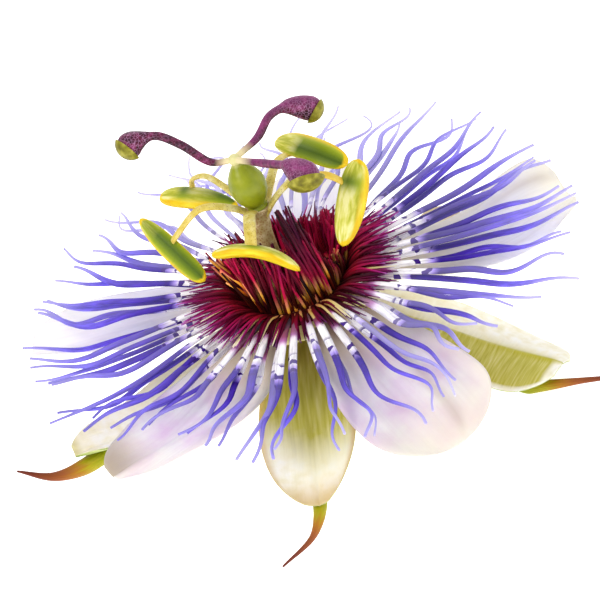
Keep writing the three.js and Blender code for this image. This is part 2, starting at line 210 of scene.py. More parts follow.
def spin_profile(bm, profile, steps, closed=True):
    """Spins (radius, height) points round the column. An open profile ends near the axis."""
    points = [bm.verts.new((radius, 0, height)) for radius, height in profile]
    first = 0 if closed else 1
    edges = [bm.edges.new((points[i - 1], points[i])) for i in range(first, len(points))]
    bmesh.ops.spin(bm, geom=points + edges, axis=(0, 0, 1), cent=(0, 0, 0),
                   angle=2 * math.pi, steps=steps, use_merge=True)
    bmesh.ops.remove_doubles(bm, verts=bm.verts, dist=2 * NEAR_AXIS)
    bmesh.ops.recalc_face_normals(bm, faces=bm.faces)


def finish_piece(name, bm, materials, nodes):
    """Makes the object in the frame, puts it under the root body and hides the solids it replaces.
    """
    bmesh.ops.transform(bm, matrix=TO_FRAME, verts=bm.verts)
    mesh = bpy.data.meshes.new(name)
    bm.to_mesh(mesh)
    bm.free()
    for material in materials:
        mesh.materials.append(material)
    mesh.shade_smooth()
    piece = bpy.data.objects.new(name, mesh)
    bpy.context.scene.collection.objects.link(piece)
    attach(piece, "root")
    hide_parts(*nodes)


# Living stalk tissue: pale green, yellower in patches of a few millimetres, creamy at the rim.
cup_skin, tree, shader = new_surface("green_stalk_tissue", {
    "Roughness": 0.5, "Subsurface Weight": 0.15, "Subsurface Scale": 0.001,
})
place = add_node(tree, "TexCoord", {}).outputs["Object"]
patches = add_node(tree, "TexNoise", {"Vector": place, "Scale": 350.0, "Detail": 4.0})
tint = add_node(tree, "ValToRGB", {"Fac": patches}, stops=[
    (0.3, "#8d9a44"), (0.5, "#b5b562"), (0.72, "#d8cf90"),
])
height = add_node(tree, "SeparateXYZ", {"Vector": place}).outputs["Z"]
near_rim = add_node(tree, "MapRange", {
    "Value": height,
    "From Min": flower_foot.z + RIM_TINT_HEIGHTS[0] / 1000,
    "From Max": flower_foot.z + RIM_TINT_HEIGHTS[1] / 1000,
})
rimmed = add_node(tree, "Mix", {0: near_rim, 6: tint, 7: colour("#dccb8c")}, data_type="RGBA")
pores = add_node(tree, "TexNoise", {"Vector": place, "Scale": 2500.0, "Detail": 3.0})
bump = add_node(tree, "Bump", {"Height": pores, "Strength": 0.3, "Distance": 0.0002})
connect(shader, {"Base Color": rimmed, "Normal": bump})

bm = bmesh.new()
spin_profile(bm, CUP_PROFILE, 90, closed=False)
for vert in bm.verts:
    radius = math.hypot(vert.co.x, vert.co.y)
    ribbed = smoothstep(1.5, 3, radius) * (1 - smoothstep(11.5, 16, vert.co.z))
    around = math.atan2(vert.co.y, vert.co.x)
    rib = 1 - CUP_RIB_DEPTH * ribbed * (1 - math.cos(CUP_RIBS * around))
    vert.co.x *= rib
    vert.co.y *= rib
finish_piece("cup_and_stalk", bm, [cup_skin], ["receptacle"])

# ---------------------------------------------------------------- sepals
# The lower five of the ten blades: firm and boat-shaped, creamy inside and green outside, each
# with a horn-like awn that springs from the keel under its tip.

CLEARANCE = 0.3                  # between pieces that touch in the living flower
BLADE_ROOT = CUP_RADIUS + CLEARANCE
BLADE_END = 0.985                # the last row is just wide enough for a closed edge
BLADE_THICKNESS = 0.6
AWN_HALF_DEPTH = 1.25
BLADE_COLUMNS = 32
BLADE_STEPS = 72


def polar(radius, azimuth, height):
    """Point at a radius from the column, an azimuth and a height."""
    angle = math.radians(azimuth)
    return Vector((radius * math.sin(angle), -radius * math.cos(angle), height))


def smooth_curve(points):
    """Function of t from 0 to 1 for the centripetal Catmull-Rom curve through the points."""
    first = points[0] * 2 - points[1]
    last = points[-1] * 2 - points[-2]
    knots = [first, *points, last]

    def at(t):
        place = min(max(t, 0), 1) * (len(points) - 1)
        i = min(int(place), len(points) - 2)
        s = place - i
        p0, p1, p2, p3 = knots[i:i + 4]
        d0, d1, d2 = ((b - a).length ** 0.5 for a, b in ((p0, p1), (p1, p2), (p2, p3)))
        out = ((p1 - p0) / d0 - (p2 - p0) / (d0 + d1) + (p2 - p1) / d1) * d1
        into = ((p2 - p1) / d1 - (p3 - p1) / (d1 + d2) + (p3 - p2) / d2) * d1
        return (p1 * (2 * s ** 3 - 3 * s * s + 1) + out * (s ** 3 - 2 * s * s + s)
                + p2 * (3 * s * s - 2 * s ** 3) + into * (s ** 3 - s * s))

    return at


def right_of(curve):
    """Level direction to the right of the way from the curve's start to its end."""
    way = curve(1) - curve(0)
    return Vector((way.y, -way.x, 0)).normalized()


def cross_frame(curve, t, across, roll=0):
    """Side and lift directions of the curve at t, turned by roll radians about it."""
    tangent = (curve(min(t + 1e-4, 1)) - curve(max(t - 1e-4, 0))).normalized()
    lift = across.cross(tangent).normalized()
    side = tangent.cross(lift)
    turn = Matrix.Rotation(roll, 3, tangent)
    return turn @ side, turn @ lift


def marked_bmesh(*marks):
    """Empty bmesh whose points carry these marks, which the materials read as attributes."""
    bm = bmesh.new()
    for mark in marks:
        bm.verts.layers.float_vector.new(mark)
    return bm


def add_tube(bm, curve, half_width, half_depth, sides, steps, mark):
    """Adds an oval tube along the curve and returns its points, each marked with a grain.

    The grain is mark(t, side, lift): t runs along the curve, side and lift round it from -1 to 1.
    """
    grain = bm.verts.layers.float_vector["grain"]
    across = right_of(curve)
    rows = [(curve(j / steps), *cross_frame(curve, j / steps, across)) for j in range(steps + 1)]
    sheet = bmesh.ops.create_grid(bm, x_segments=sides, y_segments=steps, size=1)["verts"]
    for vert in sheet:
        t = (vert.co.y + 1) / 2
        angle = -math.pi * vert.co.x
        centre, side, lift = rows[round(t * steps)]
        vert[grain] = mark(t, math.cos(angle), math.sin(angle))
        vert.co = (centre + side * math.cos(angle) * half_width(t)
                   + lift * math.sin(angle) * half_depth(t))
    return sheet


def close_tubes(bm):
    """Welds the seams of the tubes and closes their ends."""
    bmesh.ops.remove_doubles(bm, verts=bm.verts, dist=1e-4)
    open_edges = [edge for edge in bm.edges if edge.is_boundary]
    bmesh.ops.holes_fill(bm, edges=open_edges, sides=0)
    bmesh.ops.recalc_face_normals(bm, faces=bm.faces)


def blade_half_width(u, shape):
    """Half the width of a blade that widens to u = widest and rounds off to its tip."""
    if u < shape["widest"]:
        swell = math.sin(math.pi / 2 * u / shape["widest"])
        return shape["root_half_width"] + (shape["half_width"] - shape["root_half_width"]) * swell
    past = (u - shape["widest"]) / (1 - shape["widest"])
    return shape["half_width"] * math.sqrt(max(0, 1 - past ** shape["bluntness"]))


def add_blade(bm, shape, relief):
    """Makes the closed, cupped blade, thinner towards its edge. relief(u, v) raises its surface.

    The grain of a point is its distance across and along the blade in millimetres, and which side
    it is on: 0 inside, 1 outside. Its span is v and u, its share across and along.
    """
    grain = bm.verts.layers.float_vector["grain"]
    span = bm.verts.layers.float_vector["span"]
    curve = smooth_curve([
        polar(BLADE_ROOT, shape["azimuth"], shape["root_height"]),
        *(polar(*point) for point in shape["spine"]),
    ])
    across = right_of(curve)
    length = (curve(1) - curve(0)).length
    inside = bmesh.ops.create_grid(
        bm, x_segments=BLADE_COLUMNS, y_segments=BLADE_STEPS, size=1,
    )["verts"]
    copies = bmesh.ops.duplicate(bm, geom=inside + bm.faces[:])["geom"]
    outside = [item for item in copies if isinstance(item, bmesh.types.BMVert)]
    outside_faces = [item for item in copies if isinstance(item, bmesh.types.BMFace)]
    for verts, direction in ((inside, 1), (outside, -1)):
        for vert in verts:
            u = (vert.co.y + 1) / 2 * BLADE_END
            v = vert.co.x
            side, lift = cross_frame(curve, u, across, math.radians(shape["roll"] * u))
            half = blade_half_width(u, shape)
            hood = smoothstep(shape["hood_start"], 1, u) * shape["hood"]
            trough = smoothstep(0.25, 0.8, u) * shape["cup"]
            rise = half * v * v * (trough + hood)
            rise += half * v * shape["wave"] * math.sin(math.pi * (2.2 * u + 0.3 * v))
            rise += relief(u, v)
            edge = max(abs(v), smoothstep(0.8, 1, u))
            half_thickness = BLADE_THICKNESS / 2 * (1 - 0.6 * edge ** 4)
            vert[grain] = (half * v, length * u, (1 - direction) / 2)
            vert[span] = (v, u, 0)
            vert.co = curve(u) + side * half * v + lift * (rise + direction * half_thickness)
    bmesh.ops.reverse_faces(bm, faces=outside_faces)
    rim = [edge for edge in bm.edges if edge.is_boundary]
    bmesh.ops.bridge_loops(bm, edges=rim)
    bmesh.ops.recalc_face_normals(bm, faces=bm.faces)


# A blade runs from the cup along its spine of (radius, azimuth, height) points. It is widest at
# that share of the way and closes more squarely the blunter it is. Its cup and, near the tip, its
# hood lift its sides, roll turns it in degrees towards the tip, and wave curls its edges. A
# sepal's green_and_shade(u, v) shows inside, on the right sepal partly as painted shade, tan dries
# its rim, and across turns its veins across it.
SEPAL = {
    "root_height": 14.3, "root_half_width": 4.4, "half_width": 6.6, "widest": 0.5,
    "bluntness": 2.4, "cup": 0.32, "hood": 0.3, "hood_start": 0.7, "roll": 0, "wave": 0,
    "awn_half_width": AWN_HALF_DEPTH, "tan": 0.8, "across": 0,
}
SEPALS = {
    "sepal_front": {
        **SEPAL, "node": "sepal_1", "half_width": 7.1, "azimuth": -13,
        "spine": [(18, -13, 13.2), (29, -12.4, 11.2), (38.2, -12.8, 7.4)],
        "awn": [(34.6, -13, 6.7), (38.4, -13.8, 5.7), (39.6, -16, 3.8), (40.6, -23.6, 0.3)],
        "green_and_shade": lambda u, v: 1 - smoothstep(0.5, 0.95, u + 0.12 * abs(v) + 0.08 * v),
    },
    "sepal_right": {
        **SEPAL, "node": "sepal_2", "half_width": 7.9, "widest": 0.58, "bluntness": 3.1,
        "cup": -0.2, "hood": 0, "roll": -17, "azimuth": 57, "tan": 0, "across": 1,
        "spine": [(18, 57, 10.2), (26.5, 56, 6.2), (33, 55, 4.1), (38.4, 54, 3.2)],
        "awn": [(32, 48.5, 1.45), (36.5, 50.5, 1.4), (41, 52.5, 1.3), (49.5, 53.8, 1.8)],
        # Its green half is partly its own tint and partly painted shade of the half turned from the
        # light.
        "green_and_shade": lambda u, v: (1 - smoothstep(0.9, 0.96, max(v, u))) * (
            0.35 * smoothstep(-0.45, -0.02, v) + 0.65 * smoothstep(-0.05, 0.04, v)),
    },
    "sepal_back_right": {
        **SEPAL, "node": "sepal_3", "azimuth": 130,
        "spine": [(18, 130, 10.5), (29, 131, 2.1), (39, 132, 2.7)],
        "awn": [(35, 132, 1.6), (38.5, 132, 1.2), (43, 132, 0.9), (47.6, 133, 0.6)],
        "green_and_shade": lambda u, v: 0.8 * (1 - smoothstep(0.3, 0.7, u)),
    },
    "sepal_back_left": {
        **SEPAL, "node": "sepal_4", "azimuth": -158,
        "spine": [(18, -158, 10.5), (29, -157, 2.1), (39, -156, 2.7)],
        "awn": [(35, -156, 1.6), (38.5, -156, 1.2), (43, -156, 0.9), (47.6, -155, 0.6)],
        "green_and_shade": lambda u, v: 0.8 * (1 - smoothstep(0.3, 0.7, u)),
    },
    "sepal_left": {
        **SEPAL, "node": "sepal_5", "azimuth": -84, "awn_half_width": 2.1, "tan": 0.2,
        "half_width": 5.6, "bluntness": 1.9,
        "spine": [(18, -83, 12.4), (29, -78, 9.6), (40.6, -79.6, 9.8)],
        "awn": [(35, -79, 8.2), (39.6, -79, 7.5), (44.2, -80, 8), (48.6, -81, 11.3)],
        "green_and_shade": lambda u, v: 0.35 * (1 - smoothstep(0.3, 0.9, u))
        + 0.5 * smoothstep(0.93, 0.98, u),
    },
}
NEUTRAL_DEPTHS = (1.0, 0.9, 0.8)     # how far red, green and blue light spread in pale tissue

# Sepal skin: matt and fleshy. Fine veins run along it, about 0.6 mm apart, and the green of the
# outer side shows through in places. On the right sepal the green of the half turned from the
# light is partly painted shade. The tone of a point is how green, tanned and ridged it is.
sepal_skin, tree, shader = new_surface("sepal_skin", {
    "Roughness": 0.55, "Specular IOR Level": 0.25, "Subsurface Weight": 0.2,
    "Subsurface Radius": NEUTRAL_DEPTHS, "Subsurface Scale": 0.001,
})
grain = add_node(tree, "Attribute", {}, attribute_name="grain").outputs["Vector"]
span = add_node(tree, "Attribute", {}, attribute_name="span").outputs["Vector"]
tone = add_node(tree, "Attribute", {}, attribute_name="tone").outputs["Vector"]
grain_parts = add_node(tree, "SeparateXYZ", {"Vector": grain}).outputs
span_parts = add_node(tree, "SeparateXYZ", {"Vector": span}).outputs
tone_parts = add_node(tree, "SeparateXYZ", {"Vector": tone}).outputs
veins = add_node(tree, "TexNoise", {
    "Vector": add_node(tree, "Mapping", {"Vector": grain, "Scale": (1.6, 0.12, 1)}),
    "Scale": 1.0, "Detail": 3.0,
})
cross_veins = add_node(tree, "TexNoise", {
    "Vector": add_node(tree, "Mapping", {"Vector": grain, "Scale": (0.2, 2.4, 1)}),
    "Scale": 1.0, "Detail": 3.0,
})
which = add_node(tree, "Mix", {0: span_parts["Z"], 2: veins, 3: cross_veins})
flecks = add_node(tree, "TexNoise", {"Vector": grain, "Scale": 0.5, "Detail": 5.0})
cream = add_node(tree, "ValToRGB", {"Fac": flecks}, stops=[
    (0.3, "#ece5c4"), (0.52, "#f7f3e0"), (0.72, "#fefdf8"),
])
# The inside's green; on the right sepal partly painted shade.
green_and_shade = add_node(tree, "ValToRGB", {"Fac": which}, stops=[
    (0.3, "#aea636"), (0.46, "#bfb84e"), (0.6, "#cbc466"), (0.75, "#d8d28c"),
])
patchy = add_node(tree, "Math", {0: flecks, 1: 0.5, 2: tone_parts["X"]}, operation="MULTIPLY_ADD")
greenness = add_node(tree, "MapRange", {"Value": patchy, "From Min": 0.3, "From Max": 1.1})
inside = add_node(tree, "Mix", {0: greenness, 6: cream, 7: green_and_shade}, data_type="RGBA")
ridged = add_node(tree, "Mix", {
    0: tone_parts["Z"], 6: inside, 7: colour("#b8b000"),
}, data_type="RGBA")
edged = add_node(tree, "Mix", {
    0: tone_parts["Y"], 6: ridged, 7: colour("#c8a868"),
}, data_type="RGBA")
outside = add_node(tree, "ValToRGB", {"Fac": veins}, stops=[
    (0.3, "#6f8436"), (0.5, "#92a352"), (0.7, "#b9c27c"),
])
both = add_node(tree, "Mix", {0: grain_parts["Z"], 6: edged, 7: outside}, data_type="RGBA")
bump = add_node(tree, "Bump", {"Height": which, "Strength": 0.3, "Distance": 0.0004})
connect(shader, {"Base Color": both, "Normal": bump})

# Awn: a smooth green horn that dries to tan and red-brown towards its tip, in long streaks.
awn_skin, tree, shader = new_surface("drying_awn", {"Roughness": 0.5, "Specular IOR Level": 0.25})
grain = add_node(tree, "Attribute", {}, attribute_name="grain").outputs["Vector"]
along = add_node(tree, "SeparateXYZ", {"Vector": grain}).outputs["Y"]
streaks = add_node(tree, "TexNoise", {
    "Vector": add_node(tree, "Mapping", {"Vector": grain, "Scale": (3, 2, 3)}),
    "Scale": 1.5, "Detail": 3.0,
})
dryness = add_node(tree, "Math", {0: streaks, 1: 0.3, 2: along}, operation="MULTIPLY_ADD")
tint = add_node(tree, "ValToRGB", {"Fac": dryness}, stops=[
    (0.2, "#8f9804"), (0.42, "#a89c08"), (0.56, "#a8700e"), (0.75, "#96501c"), (1.0, "#6f2a14"),
])
bump = add_node(tree, "Bump", {"Height": streaks, "Strength": 0.4, "Distance": 0.0003})
connect(shader, {"Base Color": tint, "Normal": bump})


def bump_at(x, at, spread, by):
    """Smooth bump of a height, centred at a place and falling off over a spread."""
    return by * math.exp(-(((x - at) / spread) ** 2))


def midrib(depth, v):
    """Height of the fold along a blade's middle."""
    return bump_at(v, 0, 0.07, depth)


for name, shape in SEPALS.items():
    bm = marked_bmesh("grain", "span", "tone")
    span = bm.verts.layers.float_vector["span"]
    tone = bm.verts.layers.float_vector["tone"]
    fold = 0.3 if shape["cup"] < 0 else -0.25
    add_blade(bm, shape, lambda u, v: midrib(fold, v) * smoothstep(0.15, 0.4, u))
    for vert in bm.verts:
        v, u, _ = vert[span]
        tanned = shape["tan"] * smoothstep(0.82, 1, max(abs(v), u))
        vert[span] = (v, u, shape["across"])
        ridged = shape["across"] * bump_at(v, -0.02, 0.1, 0.9 * smoothstep(0.3, 0.9, u))
        vert[tone] = (shape["green_and_shade"](u, v), tanned, ridged)
    blade_faces = set(bm.faces)
    thick = shape["awn_half_width"]

    def awn_half_width(t):
        return (0.15 + (thick - 0.15) * (1 - t ** 0.8)) * smoothstep(-0.12, 0.14, t)

    add_tube(
        bm, smooth_curve([polar(*point) for point in shape["awn"]]),
        awn_half_width, lambda t: min(awn_half_width(t), AWN_HALF_DEPTH), 16, 36,
        lambda t, side, lift: (side, t, lift),
    )
    close_tubes(bm)
    for face in bm.faces:
        face.material_index = 0 if face in blade_faces else 1
    finish_piece(name, bm, [sepal_skin, awn_skin], [shape["node"]])

# ---------------------------------------------------------------- petals
# The upper five blades: thinner, wider and softer than the sepals, white with a breath of lilac,
# and narrowed to a claw where they join the cup.

# Lilac is how lilac a petal's clouds are and creamy how cream its rim is. Painted grey-tan shade
# lies on a curled tip (tip_shade), over all of a petal (overall_shade) and along a fold that runs
# at a place across it (crease_shade).
PETAL = {
    "root_height": 16.1, "root_half_width": 3.4, "half_width": 8.2, "widest": 0.62,
    "bluntness": 2.6, "cup": 0.16, "hood": 0.1, "hood_start": 0.6, "roll": 0, "wave": 0.06,
    "creamy": 0.7, "overall_shade": 0, "tip_shade": 0, "crease_shade": 0,
}
PETALS = {
    "petal_front_right": {
        **PETAL, "node": "petal_1", "half_width": 9.6, "widest": 0.72, "bluntness": 2.7,
        "azimuth": 18.5, "lilac": 1, "creamy": 0.6, "overall_shade": 0.16, "crease_shade": -0.3,
        "spine": [(18, 18.5, 15.3), (30, 17.8, 12.3), (40.2, 17.8, 8.8)],
    },
    "petal_right": {
        **PETAL, "node": "petal_2", "half_width": 8.8, "bluntness": 6, "azimuth": 91,
        "lilac": 0.05, "crease_shade": -0.6,
        "spine": [(18, 90.5, 15), (30, 91, 13.4), (37.5, 94, 13.4), (43.2, 94.2, 13.4)],
    },
    "petal_back": {
        **PETAL, "node": "petal_3", "azimuth": 166, "lilac": 0.2,
        "spine": [(18, 166, 15), (30, 166, 12.6), (42, 166, 11)],
    },
    "petal_back_left": {
        **PETAL, "node": "petal_4", "half_width": 7.4, "azimuth": -122, "lilac": 0.3,
        "creamy": 0.15,
        "spine": [(18, -121, 15.2), (30, -118, 13.8), (46, -113.5, 13.8)],
    },
    "petal_front_left": {
        **PETAL, "node": "petal_5", "half_width": 9, "widest": 0.56, "bluntness": 2.1, "roll": 6,
        "hood_start": 0.84, "azimuth": -49, "lilac": 1, "creamy": 0.4, "tip_shade": 1,
        "spine": [(18, -50, 15), (29, -54, 13.4), (40.4, -58.6, 13.4)],
    },
}
FOLD_HEIGHT = 0.35

# Petal skin: translucent and silky. Lilac gathers in soft clouds some 8 mm across, and fine veins
# run along the petal, about 0.8 mm apart. The tone is how lilac and creamy it is and how much
# painted grey-tan shade it has.
petal_skin, tree, shader = new_surface("petal_skin", {
    "Roughness": 0.5, "Specular IOR Level": 0.25, "Sheen Weight": 0.05,
    "Subsurface Weight": 0.25, "Subsurface Radius": NEUTRAL_DEPTHS, "Subsurface Scale": 0.0012,
})
grain = add_node(tree, "Attribute", {}, attribute_name="grain").outputs["Vector"]
tone = add_node(tree, "Attribute", {}, attribute_name="tone").outputs["Vector"]
tone_parts = add_node(tree, "SeparateXYZ", {"Vector": tone}).outputs
clouds = add_node(tree, "TexNoise", {"Vector": grain, "Scale": 0.13, "Detail": 4.0})
cloudy = add_node(tree, "MapRange", {"Value": clouds, "From Min": 0.36, "From Max": 0.66})
lilac = add_node(tree, "Math", {0: cloudy, 1: tone_parts["X"]}, operation="MULTIPLY")
veins = add_node(tree, "TexNoise", {
    "Vector": add_node(tree, "Mapping", {"Vector": grain, "Scale": (1.3, 0.08, 1)}),
    "Scale": 1.0, "Detail": 3.0,
})
white = add_node(tree, "ValToRGB", {"Fac": veins}, stops=[
    (0.3, "#f3f1f2"), (0.5, "#fbfafa"), (0.7, "#ffffff"),
])
blushed = add_node(tree, "Mix", {0: lilac, 6: white, 7: colour("#ecccee")}, data_type="RGBA")
creamed = add_node(tree, "Mix", {
    0: tone_parts["Y"], 6: blushed, 7: colour("#f8f0d2"),
}, data_type="RGBA")
# Painted shade: grey-tan mixed in by the tone's third value.
painted_shade = add_node(tree, "Mix", {
    0: tone_parts["Z"], 6: creamed, 7: colour("#b9ac9c"),
}, data_type="RGBA")
bump = add_node(tree, "Bump", {"Height": veins, "Strength": 0.2, "Distance": 0.0004})
connect(shader, {"Base Color": painted_shade, "Normal": bump})


def petal_relief(shape):
    """Soft folds that run out to a petal's edge, with a shallow groove along its middle."""
    def relief(u, v):
        spread = smoothstep(0.2, 0.6, u) * (1 - 0.6 * smoothstep(0.85, 1, u))
        place = Vector((1.6 * v, 2.2 * u, shape["azimuth"] * 0.1))
        pleats = noise.noise(Vector((5 * v, 1.4 * u, shape["azimuth"] * 0.1)))
        folds = 2.2 * noise.noise(place) + 0.5 * pleats
        return spread * FOLD_HEIGHT * folds + midrib(-0.15, v)
    return relief


for name, shape in PETALS.items():
    bm = marked_bmesh("grain", "span", "tone")
    span = bm.verts.layers.float_vector["span"]
    tone = bm.verts.layers.float_vector["tone"]
    add_blade(bm, shape, petal_relief(shape))
    for vert in bm.verts:
        v, u, _ = vert[span]
        near_cup = 1 - smoothstep(0.15, 0.55, u)
        creamy = max(shape["creamy"] * smoothstep(0.55, 1, max(-v, u)), 0.9 * near_cup)
        # Painted shade: grey-tan on a curled tip, near the cup under the corona, over all of a
        # shaded petal and along a fold.
        painted_shade = shape["tip_shade"] * smoothstep(0.74, 0.97, u) * smoothstep(-0.7, 0.2, v)
        painted_shade += 0.3 * near_cup + shape["overall_shade"]
        if shape["crease_shade"]:
            outer = smoothstep(0.45, 0.65, u) * (1 - smoothstep(0.85, 1, u))
            painted_shade += bump_at(v, shape["crease_shade"], 0.1, 0.4) * outer
        vert[tone] = (shape["lilac"], creamy, painted_shade)
    finish_piece(name, bm, [petal_skin], [shape["node"]])

# ---------------------------------------------------------------- outer corona
# Two rows of long, fleshy threads that spread flat like a wheel, and a ruff of short dark ones
# over their roots. Each long thread is maroon, then white, barred with purple, then blue.

CUP_TOP = CUP_RIM_HEIGHT + CLEARANCE
CORONA_HEIGHT = 18
CORONA_REACH = 41
LONG_THREADS = 84
RUFF_THREADS = 48
RUFF_STRANDS = 8                 # fine threads for each solid one
RING_TOP = 18.8
CORONA_RING_RADII = (7.6, 9.4)
CORONA_TILT = 1.2                # how much higher the threads reach on the wheel's high side
HIGH_SIDE = -155                 # azimuth of that side
ROW_HEIGHTS = (17.95, 18.5)      # of the roots, in the lower and the upper row
THREAD_FOOT_RADIUS = 8.6
RUFF_REACH = 15.8
RING_GRAIN = (0, 0.22, 0.3)      # where the colours of a ring are read off

# Stretches of the wheel that differ: azimuth of the middle, spread in degrees and by how much.
FRONT = [(-4, 48, 1)]
SHORT_SIDES = [(-42, 24, 7), (36, 12, 8), (-8, 22, 2)]
HOOKED_SIDE = [(-76, 46, 4.8)]
INKY_SIDE = [(-62, 46, 1)]
LONG_RUFF_SIDES = [(-95, 50, 0.6), (95, 45, 0.8)]
# Painted highlight: the ruff's threads are brighter on these two sides.
HIGHLIGHTED_RUFF_SIDES = [(125, 35, 0.25), (-78, 45, 0.22)]


def stretch_at(azimuth, stretches):
    """How much the stretches of the wheel change what grows at the azimuth."""
    return sum(bump_at(azimuth, *stretch) for stretch in stretches)


def random(n, series):
    """Seeded random number between 0 and 1 for item n of a series, by the usual sine hash."""
    wave = math.sin(n * 12.9898 + series * 78.233) * 43758.5453
    return wave - math.floor(wave)


def jitter(n, series):
    """Seeded random number between -1 and 1."""
    return 2 * random(n, series) - 1


def waved(curve, waves, hook, curl):
    """The curve with waves to the side and up, and an end that hooks to the side and curls up.

    Each wave is its height, its number of turns and its phase in turns.
    """
    across = right_of(curve)
    (side_height, side_turns, side_phase), (up_height, up_turns, up_phase) = waves

    def at(t):
        loose = smoothstep(0.3, 0.9, t)
        side = side_height * math.sin(2 * math.pi * (side_turns * t + side_phase))
        rise = up_height * math.sin(2 * math.pi * (up_turns * t + up_phase))
        bend = smoothstep(0.66, 1.12, t)
        swing = Vector((0, 0, 1)) * (rise * loose + curl * bend)
        return curve(t) + across * (side * loose + hook * bend) + swing

    return at


# Thread skin: smooth and juicy. The colour goes by the distance from the column, shifted a little
# from thread to thread, with broken purple bars 1.7 mm apart where white turns to blue. The grain
# is side, distance and the thread's own number. The tone is how pale it is, how dark its tip
# stays and how deep the blue is next to the white.
BANDS = [                        # distance from the column in millimetres, colour
    (7.5, "#140004"), (9.5, "#40020e"), (12, "#74061e"), (13.8, "#8c0e4c"), (14.8, "#b05aa4"),
    (15.6, "#f2e2f4"), (16.4, "#ffffff"), (19.8, "#fbf8fe"), (20.8, "#a890ea"), (21.6, "#300a9a"),
    (24.5, "#4424b0"), (31, "#624ed4"), (37, "#7a6ee2"), (42, "#9d92ec"), (45, "#c4bcf6"),
]
BAND_LIMIT = 45
BAND_SHIFT = 1.8
BAR_SPACING = 1.7
thread_skin, tree, shader = new_surface("corona_thread", {
    "Roughness": 0.5, "Specular IOR Level": 0.14, "Subsurface Weight": 0.08,
    "Subsurface Radius": NEUTRAL_DEPTHS, "Subsurface Scale": 0.0004,
})
grain = add_node(tree, "Attribute", {}, attribute_name="grain").outputs["Vector"]
tone = add_node(tree, "Attribute", {}, attribute_name="tone").outputs["Vector"]
parts = add_node(tree, "SeparateXYZ", {"Vector": grain}).outputs
tone_parts = add_node(tree, "SeparateXYZ", {"Vector": tone}).outputs
shift = add_node(tree, "MapRange", {
    "Value": parts["Z"], "To Min": -BAND_SHIFT, "To Max": BAND_SHIFT,
})
streaks = add_node(tree, "TexNoise", {
    "Vector": add_node(tree, "Mapping", {"Vector": grain, "Scale": (1.9, 0.4, 40)}),
    "Scale": 1.0, "Detail": 4.0,
})
distance = add_node(tree, "Math", {0: parts["Y"], 1: shift}, operation="ADD")
uneven = add_node(tree, "TexNoise", {
    "Vector": add_node(tree, "Mapping", {"Vector": grain, "Scale": (0.35, 0.25, 60)}),
    "Scale": 1.0, "Detail": 1.0,
})
wobble = add_node(tree, "Math", {0: uneven, 1: 2.0, 2: parts["Y"]}, operation="MULTIPLY_ADD")
scaled = add_node(tree, "Math", {0: distance, 1: 1 / BAND_LIMIT}, operation="MULTIPLY")
bands = add_node(tree, "ValToRGB", {"Fac": scaled}, stops=[
    (place / BAND_LIMIT, shade) for place, shade in BANDS
])
turns = add_node(tree, "Math", {0: wobble, 1: 2 * math.pi / BAR_SPACING}, operation="MULTIPLY")
swings = add_node(tree, "Math", {0: turns}, operation="SINE")
breaks = add_node(tree, "TexNoise", {
    "Vector": add_node(tree, "Mapping", {"Vector": grain, "Scale": (0.7, 0.6, 70)}),
    "Scale": 1.0, "Detail": 1.0,
})
broken = add_node(tree, "Math", {0: breaks, 1: 3.4, 2: swings}, operation="MULTIPLY_ADD")
bars = add_node(tree, "MapRange", {"Value": broken, "From Min": 2.2, "From Max": 2.35})
barred_zone = add_node(tree, "ValToRGB", {"Fac": scaled}, stops=[
    (18.2 / BAND_LIMIT, "#000000"), (18.8 / BAND_LIMIT, "#ffffff"),
    (21.2 / BAND_LIMIT, "#ffffff"), (23.5 / BAND_LIMIT, "#000000"),
])
bar_zone = add_node(tree, "Math", {0: bars, 1: barred_zone}, operation="MULTIPLY")
barred = add_node(tree, "Mix", {0: bar_zone, 6: bands, 7: colour("#34007c")}, data_type="RGBA")
deep_zone = add_node(tree, "ValToRGB", {"Fac": scaled}, stops=[
    (20.8 / BAND_LIMIT, "#000000"), (21.6 / BAND_LIMIT, "#ffffff"),
    (26 / BAND_LIMIT, "#d0d0d0"), (33 / BAND_LIMIT, "#000000"),
])
deep = add_node(tree, "Math", {0: deep_zone, 1: tone_parts["Z"]}, operation="MULTIPLY")
deepened = add_node(tree, "Mix", {0: deep, 6: barred, 7: colour("#28067e")}, data_type="RGBA")
ink_zone = add_node(tree, "MapRange", {
    "Value": parts["Y"], "From Min": 29.0, "From Max": 38.0, "To Max": 0.85,
})
ink = add_node(tree, "Math", {0: ink_zone, 1: tone_parts["Y"]}, operation="MULTIPLY")
inked = add_node(tree, "Mix", {0: ink, 6: deepened, 7: colour("#5a50bc")}, data_type="RGBA")
shade = add_node(tree, "MapRange", {
    "Value": streaks, "From Min": 0.3, "From Max": 0.7, "To Min": 0.7, "To Max": 1.45,
})
toned = add_node(tree, "HueSaturation", {"Color": inked, "Value": shade})
paled = add_node(tree, "Mix", {
    0: tone_parts["X"], 6: toned, 7: colour("#dcd6fb"),
}, data_type="RGBA")
bump = add_node(tree, "Bump", {"Height": streaks, "Strength": 0.3, "Distance": 0.0002})
connect(shader, {"Base Color": paled, "Normal": bump})

